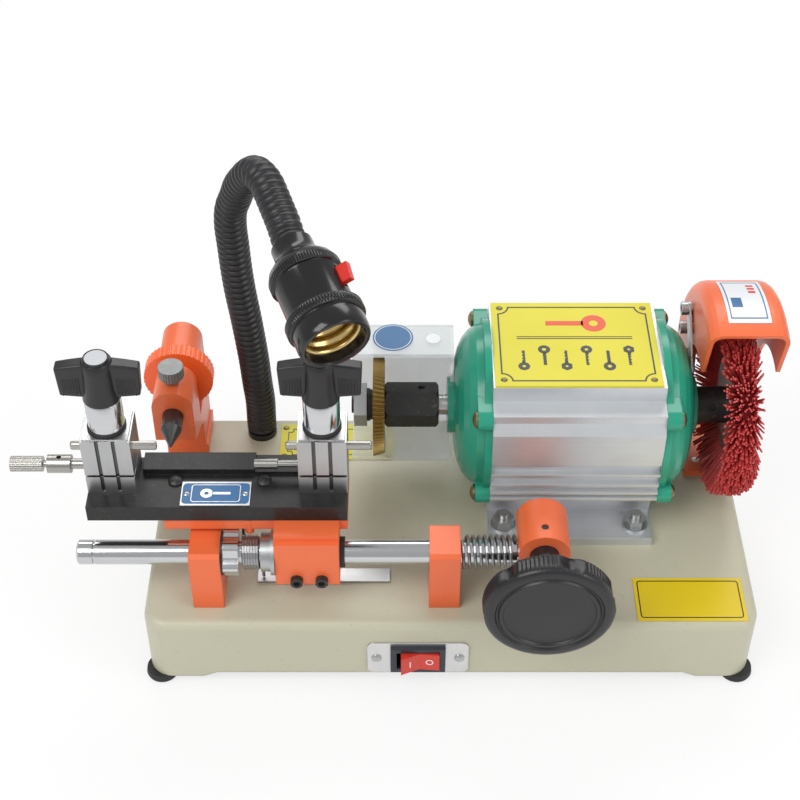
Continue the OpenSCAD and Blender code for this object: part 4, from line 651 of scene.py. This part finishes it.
data.resolution_u = 8
spline = data.splines.new("BEZIER")
spline.bezier_points.add(len(route) - 1)
for point, place in zip(spline.bezier_points, route):
    point.co = place
    point.handle_left_type = point.handle_right_type = "AUTO"
guide = bpy.data.objects.new("route", data)
bpy.context.scene.collection.objects.link(guide)
bpy.context.view_layer.update()
hose_length = spline.calc_length()
pitch = hose_length / round(hose_length / 0.0041)
rib = [(hose_radius - 0.0012, 0), (hose_radius - 0.0009, pitch * 0.12),
       (hose_radius - 0.0001, pitch * 0.34), (hose_radius - 0.0001, pitch * 0.66),
       (hose_radius - 0.0009, pitch * 0.88), (hose_radius - 0.0012, pitch)]
hose = turned("gooseneck_hose", rib, Matrix.Identity(4), steps=36)
modify(hose, "ARRAY", count=round(hose_length / pitch), use_relative_offset=False, use_constant_offset=True,
       constant_offset_displace=(0, 0, pitch), use_merge_vertices=True, merge_threshold=0.00002)
modify(hose, "CURVE", object=guide, deform_axis="POS_Z")
bpy.data.objects.remove(guide)
finish_piece(hose, hose_plastic, None, ("hose_lower", "hose_upper"), 60)
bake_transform(hose)
print("hose length:", round(hose_length, 4), "ribs:", round(hose_length / pitch))

# %% [markdown]
# ## Lamp socket
# Inside the lamp holder sits a brass shell with a rolled thread. Its wall is a wave, so the
# turned profile is made from a sine, and the spun piece replaces the plain CAD tube.

# %% Screw shell
shell_from, shell_to, shell_radius = 0.024, thread_end, 0.0156
waves = 5
wall = [(shell_radius - 0.0011 + 0.0009 * math.sin(math.tau * waves * i / 60),
         shell_from + 0.0048 + (shell_to - shell_from - 0.0048) * i / 60) for i in range(61)]
shell_profile = [(0, shell_from + 0.002), (0.0068, shell_from + 0.002), (0.0072, shell_from + 0.0048),
                 *wall, (shell_radius, shell_to), (shell_radius, shell_from), (0, shell_from)]
shell = turned("thread_shell", shell_profile, facing(lamp_axis, lamp_start), 72)
tongue = turned("tongue", [(0, 0.0285), (0.003, 0.0282), (0.004, 0.0268), (0.004, 0.0255)],
                facing(lamp_axis, lamp_start), 40)
finish_piece(join("lamp_thread", shell, tongue), brass, "arm_upper", ("lamp_contact",),
             50)

# %% [markdown]
# ## Lamp holder
# The holder is turned from a profile that runs up the outside and back down the bore. It has
# a flared neck, a domed shoulder and two knurled bands, whose vertices are pulled in by turns.
# The slot for the switch lever is a boolean cut.

# %% Lamp holder
outside = [(0, -0.5), (10.6, -0.5), (11.2, 0.2), (11.3, 6), (11.9, 9), (13.4, 11.4), (15.8, 13.6),
           (17.9, 16), (19.0, 18.6), (19.3, 19.4), (19.5, 19.8), (19.5, 23.6), (19.2, 24.0), (18.0, 24.4),
           (17.8, 25), (17.9, 46.6), (18.6, 47.2), (20.4, 47.5), (20.9, 48), (20.9, 52.6), (20.4, 53.1),
           (19.2, 53.4), (19.0, 54.2), (19.3, 55.2), (19.2, 62), (18.8, 64.4), (18.2, 65.4), (16.6, 65.5)]
bore = [(15.9, 64.8), (15.8, 63.8), (15.8, 24), (0, 24)]
holder_steps = 240
holder = turned("turned_holder", [(r / 1000, t / 1000) for r, t in outside + bore],
                Matrix.Identity(4), holder_steps)
for vertex in holder.data.vertices:
    reach = math.hypot(vertex.co.x, vertex.co.y)
    banded = 0.0196 < vertex.co.z < 0.0238 or 0.0479 < vertex.co.z < 0.0527
    if banded and reach > 0.018:
        slot = round(math.atan2(vertex.co.y, vertex.co.x) / math.tau * holder_steps) % 3
        vertex.co.x *= 1 - 0.0005 * (slot == 0) / reach
        vertex.co.y *= 1 - 0.0005 * (slot == 0) / reach
holder.data.transform(facing(lamp_axis, lamp_start))
lever = middle("lamp_switch") - lamp_start
outward = (lever - lamp_axis * lever.dot(lamp_axis)).normalized()
turn = Matrix((outward, lamp_axis.cross(outward), lamp_axis)).transposed().to_4x4()
slot_cut = primitive("cube", "slot_cut", size=1.0, scale=(0.012, 0.005, 0.013))
slot_cut.data.transform(Matrix.Translation(lamp_start + lamp_axis * 0.034 + outward * 0.0186) @ turn)
modify(holder, "BOOLEAN", object=slot_cut, operation="DIFFERENCE")
bpy.data.objects.remove(slot_cut)
finish_piece(holder, black_bakelite, "arm_upper", ("lamp_holder",), 35)

# %% [markdown]
# ## Feed knob
# The large knob is moulded in black plastic. Its rim has six grips with ribs, and shallow
# scallops between them. The disc is turned first; then its rim vertices are pulled in by an
# amount that depends on the angle. The stem is turned too, in the same black moulding.

# %% Feed knob
low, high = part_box("feed_knob")
knob_x, knob_z = (low.x + high.x) / 2, (low.z + high.z) / 2
knob_radius, knob_depth = (high.x - low.x) / 2, 0.0177
rim = [(0, 0), (0.0108, 0), (0.0108, 0.005), (0.0155, 0.006), (0.031, 0.0062), (0.0345, 0.0042),
       (0.0352, 0.0048), (0.0360, 0.0066), (0.0360, 0.0085), (0.0360, 0.0115), (0.0360, 0.0138),
       (0.0353, 0.0158), (0.0343, 0.0168), (0.0325, 0.01735), (0.0298, 0.0174), (0.0288, 0.0163),
       (0.0279, 0.0163), (0.0270, 0.0175), (0.0255, 0.0176), (0.0246, 0.0165), (0.0238, 0.01645),
       (0.0150, 0.0168), (0, 0.0170)]
knob = turned("moulded_knob", [(r * knob_radius / 0.036, t) for r, t in rim], Matrix.Identity(4), 288)
for vertex in knob.data.vertices:
    reach = math.hypot(vertex.co.x, vertex.co.y)
    if reach > 0.0335:
        angle = (math.atan2(vertex.co.y, vertex.co.x) + math.radians(17)) % (math.tau / 6) - math.tau / 12
        scallop = max(0.0, math.cos(angle * 6)) ** 3 * 0.0042
        rib = 0.0 if abs(angle) < 0.24 else 0.0008 * (0.5 + 0.5 * math.cos(angle * 96))
        face = min(1.0, max(0.0, (0.0152 - vertex.co.z) / 0.003))
        pull = (scallop + rib) * min(1.0, (reach - 0.0335) / 0.0022) * face
        vertex.co.x *= 1 - pull / reach
        vertex.co.y *= 1 - pull / reach
knob.data.transform(facing((0, -1, 0), (knob_x, low.y + knob_depth, knob_z)))
finish_piece(knob, black_moulding, "carriage", ("feed_knob",), 32)
stem_end = high.y
hub_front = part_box("lever_hub")[0].y + 0.0024
neck, stem_length = stem_end - hub_front, stem_end - low.y - knob_depth + 0.003
stem = turned("knob_stem", [(0, 0), (0.0048, 0.0002), (0.005, 0.0006), (0.005, neck), (0.0074, neck),
                            (0.0078, neck + 0.0004), (0.0078, stem_length), (0, stem_length)],
              facing((0, -1, 0), (knob_x, stem_end, knob_z)), 64)
finish_piece(stem, black_moulding, "carriage")

# %% [markdown]
# ## Wing knobs
# Each vise is closed by a black wing knob on a chrome sleeve. The wings are one slab: a cube
# is subdivided, tapered and bevelled, and fine upright ribs are set into its flanks. The
# sleeve, its rubber ring and the silver cap are turned.

# %% Wing knobs


def wing_knob(side):
    low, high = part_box("wing_knob_" + side)
    x, y, base = (low.x + high.x) / 2, (low.y + high.y) / 2, low.z
    half, top = (high.x - low.x) / 2, high.z - 0.0016
    upright = facing((0, 0, 1), (x, y, base))
    sleeve_top = 0.0212
    sleeve = turned("sleeve_" + side, [(0.0041, 0), (0.0100, 0.0004), (0.0100, sleeve_top - 0.0008),
                                       (0.0094, sleeve_top), (0.0041, sleeve_top)], upright, 64)
    finish_piece(sleeve, chrome, "knob_" + side)
    ring = turned("ring_" + side, [(0.0100, 0.0), (0.0106, 0.0003), (0.0107, 0.0012),
                                   (0.0105, 0.0021), (0.0100, 0.0022)], upright, 48)
    finish_piece(ring, foot_rubber, "knob_" + side)
    height = top - base
    boss = turned("boss", [(0.0041, sleeve_top), (0.0098, sleeve_top), (0.0103, sleeve_top + 0.0006),
                           (0.0100, sleeve_top + 0.003), (0.0091, sleeve_top + 0.008),
                           (0.0086, height - 0.006), (0.0082, height - 0.0012),
                           (0.0074, height), (0, height)], upright, 64)
    foot_z, head_z = base + sleeve_top + 0.0022, top - 0.0008
    slab = primitive("cube", "slab", size=1.0, location=(x, y, (foot_z + head_z) / 2),
                     scale=(half * 2, 0.0070, head_z - foot_z))
    edit(slab, ("subdivide", {"number_cuts": 5}))
    for vertex in slab.data.vertices:
        across = abs(vertex.co.x - x) / half
        up = (vertex.co.z - foot_z) / (head_z - foot_z)
        vertex.co.z -= across ** 1.5 * 0.0030 * up
        vertex.co.z += across * 0.0016 * (1 - up)
        vertex.co.x = x + (vertex.co.x - x) * (0.955 + 0.045 * up)
        vertex.co.y = y + (vertex.co.y - y) * (1.16 - 0.16 * across)
    modify(slab, "BEVEL", width=0.0010, segments=3, limit_method="ANGLE", angle_limit=math.radians(50))
    parts = [boss, slab]
    for sign in (-1, 1):
        for index in range(7):
            at = x + sign * (0.0104 + index * 0.0015)
            rib = primitive("cube", "rib", size=1.0, location=(at, y, foot_z + 0.0088 - index * 0.0002),
                            scale=(0.0007, 0.0084 - index * 0.00012, 0.0115))
            modify(rib, "BEVEL", width=0.00025, segments=2)
            parts.append(rib)
    piece = join("wings_" + side, *parts)
    finish_piece(piece, black_moulding, "knob_" + side, ("wing_knob_" + side,), 40)
    above = facing((0, 0, 1), (x, y, top))
    rim = turned("cap_rim_" + side, [(0.0060, 0.0012), (0.0064, 0.0015), (0.0068, 0.0013), (0.0070, 0.0006),
                                     (0.0070, 0.0), (0.0060, 0.0)], above, 48)
    finish_piece(rim, black_moulding, "knob_" + side)
    cap = turned("cap_" + side, [(0, 0.0), (0.0061, 0.0), (0.0061, 0.0012), (0, 0.0013)], above, 48)
    finish_piece(cap, cap_silver, "knob_" + side)


for side in ("left", "right"):
    wing_knob(side)
    jaw_low, jaw_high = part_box("upper_jaw_" + side)
    tab = primitive("cube", "tab_" + side, size=1.0,
                    location=((jaw_low.x + jaw_high.x) / 2, jaw_low.y + 0.0052, jaw_high.z - 0.008),
                    scale=(jaw_high.x - jaw_low.x + 0.0004, 0.0035, 0.0050))
    modify(tab, "BEVEL", width=0.0013, segments=4)
    finish_piece(tab, nickel, "jaw_" + side)

# %% [markdown]
# ## Print on the plates
# The print is made of very thin flat pieces that lie on the plates: borders with notched
# corners and a row of plain key outlines of our own drawing. A border is a plane with an
# inset, whose middle is deleted; extrusion then gives the ink its thickness.

# %% Print helpers


def sheet_of(name, x, y, z, width, depth, corner=0.0, profile=0.5, thick=0.00012,
             frame_width=0.0):
    """A thin rectangle, or only its border when frame_width is given."""
    piece = primitive("plane", name, size=1.0, location=(x, y, z), scale=(width, depth, 1))
    steps = []
    if corner:
        steps.append(("bevel", {"offset": corner, "segments": 5, "affect": "VERTICES", "profile": profile}))
    if frame_width:
        steps.append(("inset", {"thickness": frame_width}))
        steps.append(("delete", {"type": "FACE"}))
        steps.append(("select_all", {"action": "SELECT"}))
    steps.append(("extrude_region_move", {"TRANSFORM_OT_translate": {"value": (0, 0, thick)}}))
    steps.append(("select_all", {"action": "SELECT"}))
    steps.append(("normals_make_consistent", {"inside": False}))
    return edit(piece, *steps)


def key_outline(name, x, y, z, size, turn, shape):
    """A flat key blank: a bow with a hole, a blade and a few cuts."""
    bow = primitive("circle", "bow", vertices=(8, 28, 6)[shape % 3], radius=0.30 * size,
                    fill_type="NGON", location=(0, 0.62 * size, 0))
    edit(bow, ("inset", {"thickness": 0.19 * size}), ("delete", {"type": "FACE"}))
    blade = primitive("grid", "blade", x_subdivisions=2, y_subdivisions=12, size=1.0,
                      location=(0, -0.08 * size, 0), scale=(0.16 * size, 0.9 * size, 1))
    for vertex in blade.data.vertices:
        if vertex.co.x > 0.01 * size and vertex.co.y < 0.22 * size:
            step = int((vertex.co.y / size + 0.6) * 14)
            vertex.co.x -= 0.07 * size * ((step * (shape + 2)) % 3) / 2
    piece = join(name, bow, blade)
    edit(piece, ("extrude_region_move", {"TRANSFORM_OT_translate": {"value": (0, 0, 0.00012)}}),
         ("select_all", {"action": "SELECT"}), ("normals_make_consistent", {"inside": False}))
    piece.data.transform(Matrix.Translation((x, y, z)) @ Matrix.Rotation(turn, 4, "Z"))
    return piece


def printed(piece, material, body):
    return finish_piece(piece, material, body, angle=20)


# %% Motor plate print
plate_low, plate_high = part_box("label_plates")
housing_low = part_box("motor_housing")[0]
plate_x, plate_y, plate_z = housing_low.x + 0.001 + 0.04675, spindle_y + 0.0006, plate_high.z
printed(sheet_of("motor_plate_border", plate_x, plate_y, plate_z, 0.0865, 0.0645, 0.006, 0.08,
                 frame_width=0.0009), black_ink, "base")
for index, rise in enumerate((0.0040, 0.0056)):
    printed(sheet_of("motor_plate_rule_%d" % index, plate_x, plate_y + rise, plate_z, 0.066, 0.0006),
            black_ink, "base")
big_key = key_outline("motor_plate_key", plate_x - 0.003, plate_y + 0.0175, plate_z, 0.024,
                      -math.pi / 2, 1)
printed(big_key, orange_ink, "base")
for index in range(6):
    key = key_outline("plate_key_%d" % index, plate_x - 0.03 + index * 0.012, plate_y - 0.0125, plate_z,
                      0.0115, 0 if index % 2 else math.pi, index)
    printed(key, black_ink, "base")

# %% Base label print
table_z = foot.z
front_label = (plate_high.x - 0.03125, plate_low.y + 0.01575, table_z + 0.00036)
rear_label = (plate_low.x + 0.0355, plate_high.y - 0.0155, table_z + 0.00072)
printed(sheet_of("front_label_border", *front_label, 0.0585, 0.0275, 0.002, 0.5, frame_width=0.0006),
        black_ink, "base")
printed(sheet_of("rear_label_border", *rear_label, 0.062, 0.0235, 0.003, 0.0, frame_width=0.0006),
        black_ink, "base")

# %% Bed label print
bed_low, bed_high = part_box("bed_plate")
bed_x, bed_y = (bed_low.x + bed_high.x) / 2, (bed_low.y + bed_high.y) / 2
bed_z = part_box("jaw_bed")[0].z + 0.0105 + 0.00084
printed(sheet_of("bed_label_panel", bed_x, bed_y, bed_z, 0.0372, 0.0155, 0.0024),
        blue_ink, "carriage")
printed(sheet_of("bed_label_line", bed_x, bed_y, bed_z + 0.00012, 0.0274, 0.0133, 0.0018,
                 frame_width=0.0005), silver_ink, "carriage")
printed(key_outline("bed_label_key", bed_x + 0.002, bed_y, bed_z + 0.00012, 0.0115, math.pi / 2, 1),
        silver_ink, "carriage")

# %% [markdown]
# ## Switch marks
# The rocker carries the two standard marks for on and off, a bar and a ring. They are thin
# white pieces that lie on the two halves of the rocker, and they rock with it.

# %% Rocker marks
rocker_low, rocker_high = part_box("switch_rocker")
rocker_x, rocker_z = (switch_low.x + switch_high.x) / 2, (rocker_low.z + rocker_high.z) / 2
pivot_y = switch_low.y + 0.0025
tilt = math.radians(9)
for sign, kind in ((-1, "bar"), (1, "ring")):
    slope = math.atan2(2.8, 11.15) * -sign
    across, out = sign * 0.0056, -0.0068
    if kind == "bar":
        mark = primitive("cube", "mark_bar", size=1.0, scale=(0.0007, 0.00016, 0.0050))
    else:
        mark = primitive("torus", "mark_ring", major_radius=0.0019, minor_radius=0.00035,
                         major_segments=28, minor_segments=6, rotation=(math.radians(90), 0, 0))
        for vertex in mark.data.vertices:
            vertex.co.y *= 0.3
    mark.data.transform(Matrix.Translation((rocker_x, pivot_y, rocker_z)) @ Matrix.Rotation(tilt, 4, "Z")
                        @ Matrix.Translation((across, out, 0)) @ Matrix.Rotation(slope, 4, "Z"))
    finish_piece(mark, white_ink, "rocker")

# %% [markdown]
# ## Guard label and hood labels
# A plain silver-white label is bent round the top of the brush guard. A subdivided plane is
# laid on the guard's radius, vertex by vertex, and a Solidify modifier gives it a thickness.

# %% Guard label
guard_low, guard_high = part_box("brush_guard")
guard_radius = guard_high.z - spindle_z
label_mid = (guard_low.x + guard_high.x) / 2


def bent_label(name, width, start, stop, lift, material, aside=0.0):
    piece = primitive("grid", name, x_subdivisions=4, y_subdivisions=24, size=1.0)
    for vertex in piece.data.vertices:
        angle = math.radians(start + (stop - start) * (vertex.co.y + 0.5))
        reach = guard_radius + lift
        vertex.co = (label_mid + aside + vertex.co.x * width, spindle_y + math.cos(angle) * reach,
                     spindle_z + math.sin(angle) * reach)
    modify(piece, "SOLIDIFY", thickness=0.00015, offset=-1 if lift else 1)
    return finish_piece(piece, material, "guard", angle=60)


bent_label("guard_label", 0.024, 62, 99, 0.00022, white_ink)
bent_label("guard_label_rule_1", 0.0206, 64.6, 65.2, 0.00036, blue_ink)
bent_label("guard_label_rule_2", 0.0206, 95.8, 96.4, 0.00036, blue_ink)
for index, aside in enumerate((-0.0100, 0.0100)):
    bent_label("guard_label_side_%d" % index, 0.0006, 64.6, 96.4, 0.00036, blue_ink, aside)
bent_label("guard_label_patch", 0.0058, 82, 89, 0.00036, blue_ink, -0.0052)
for index in range(3):
    bent_label("guard_label_bar_%d" % index, 0.0040, 69 + index * 3.4, 70.8 + index * 3.4, 0.00036,
               red_moulding, 0.0052)

# %% Hood label
hood_low, hood_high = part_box("chip_shield")
hood_label = Vector(((hood_low.x + hood_high.x) / 2 - 0.0054, hood_high.y - 0.0165, hood_high.z))
disc = turned("hood_label_disc", [(0, 0), (0.0118, 0), (0.0118, 0.00012), (0, 0.00012)],
              facing((0, 0, 1), hood_label), 64)
printed(disc, blue_ink, "base")
ring = turned("hood_label_ring", [(0.0104, 0.0001), (0.0108, 0.0001), (0.0108, 0.0002), (0.0104, 0.0002),
                                  (0.0104, 0.0001)], facing((0, 0, 1), hood_label), 64)
printed(ring, white_ink, "base")
seal = turned("hood_seal", [(0, 0), (0.0042, 0), (0.0042, 0.00012), (0, 0.00012)],
              facing((0, 0, 1), hood_label + Vector((0.0235, -0.001, 0))), 48)
printed(seal, white_ink, "base")
print("print pieces done")

# %% [markdown]
# ## Floor and lamps
# The floor glows a little for the camera, in reflections and through clear plastic, so that
# it looks almost white. The world is white to the camera and through clear plastic. For all
# other light it is a plain soft grey, and three area lamps model the form: a large key from
# the upper left, a fill from the right and a strip from behind.

# %% Studio
world = bpy.data.worlds.new("studio")
bpy.context.scene.world = world
world.use_nodes = True
tree = world.node_tree
background = tree.nodes["Background"]
background.inputs["Color"].default_value = (1, 1, 1, 1)
ray = tree.nodes.new("ShaderNodeLightPath")
seen = tree.nodes.new("ShaderNodeMath")
seen.operation = "MAXIMUM"
tree.links.new(ray.outputs["Is Camera Ray"], seen.inputs[0])
tree.links.new(ray.outputs["Is Transmission Ray"], seen.inputs[1])
strength = tree.nodes.new("ShaderNodeMapRange")
strength.inputs["To Min"].default_value = 0.55
strength.inputs["To Max"].default_value = 1.0
tree.links.new(seen.outputs[0], strength.inputs["Value"])
tree.links.new(strength.outputs[0], background.inputs["Strength"])

ground = primitive("plane", "floor", size=8.0)
pale = Finish("pale_floor")
pale.shader.inputs["Roughness"].default_value = 0.9
pale.shader.inputs["Base Color"].default_value = (0.86, 0.86, 0.86, 1)
camera_ray = pale.add("ShaderNodeLightPath")
glossy_ray = Value(pale, camera_ray.socket.node.outputs["Is Glossy Ray"])
through_ray = Value(pale, camera_ray.socket.node.outputs["Is Transmission Ray"])
glow = pale.add("ShaderNodeEmission", {}, {"Color": (1.0, 1.0, 1.0), "Strength": 1.0})
share = (camera_ray + glossy_ray * 0.6 + through_ray) * 0.72
mixed = pale.add("ShaderNodeMixShader", {}, {0: share, 1: Value(pale, pale.shader.outputs[0]), 2: glow})
pale.tree.links.new(mixed.socket, pale.output.inputs["Surface"])
ground.data.materials.append(pale.material)


def lamp(name, place, aim, size, power):
    bpy.ops.object.select_all(action="DESELECT")
    bpy.ops.object.light_add(type="AREA", location=place)
    light = bpy.context.object
    light.name = name
    light.rotation_euler = (Vector(aim) - Vector(place)).to_track_quat("-Z", "Y").to_euler()
    light.data.shape = "RECTANGLE"
    light.data.size, light.data.size_y = size
    light.data.energy = power


lamp("key_light", (-0.75, -0.75, 1.35), (0, 0, 0.1), (0.9, 0.9), 13.0)
lamp("fill_light", (1.0, -0.6, 0.9), (0, 0, 0.1), (0.8, 0.8), 6.0)
lamp("rim_light", (0.1, 1.0, 1.1), (0, 0, 0.1), (1.4, 0.5), 8.0)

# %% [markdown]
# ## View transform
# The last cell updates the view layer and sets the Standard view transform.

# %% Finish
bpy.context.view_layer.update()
view = bpy.context.scene.view_settings
view.view_transform = "Standard"
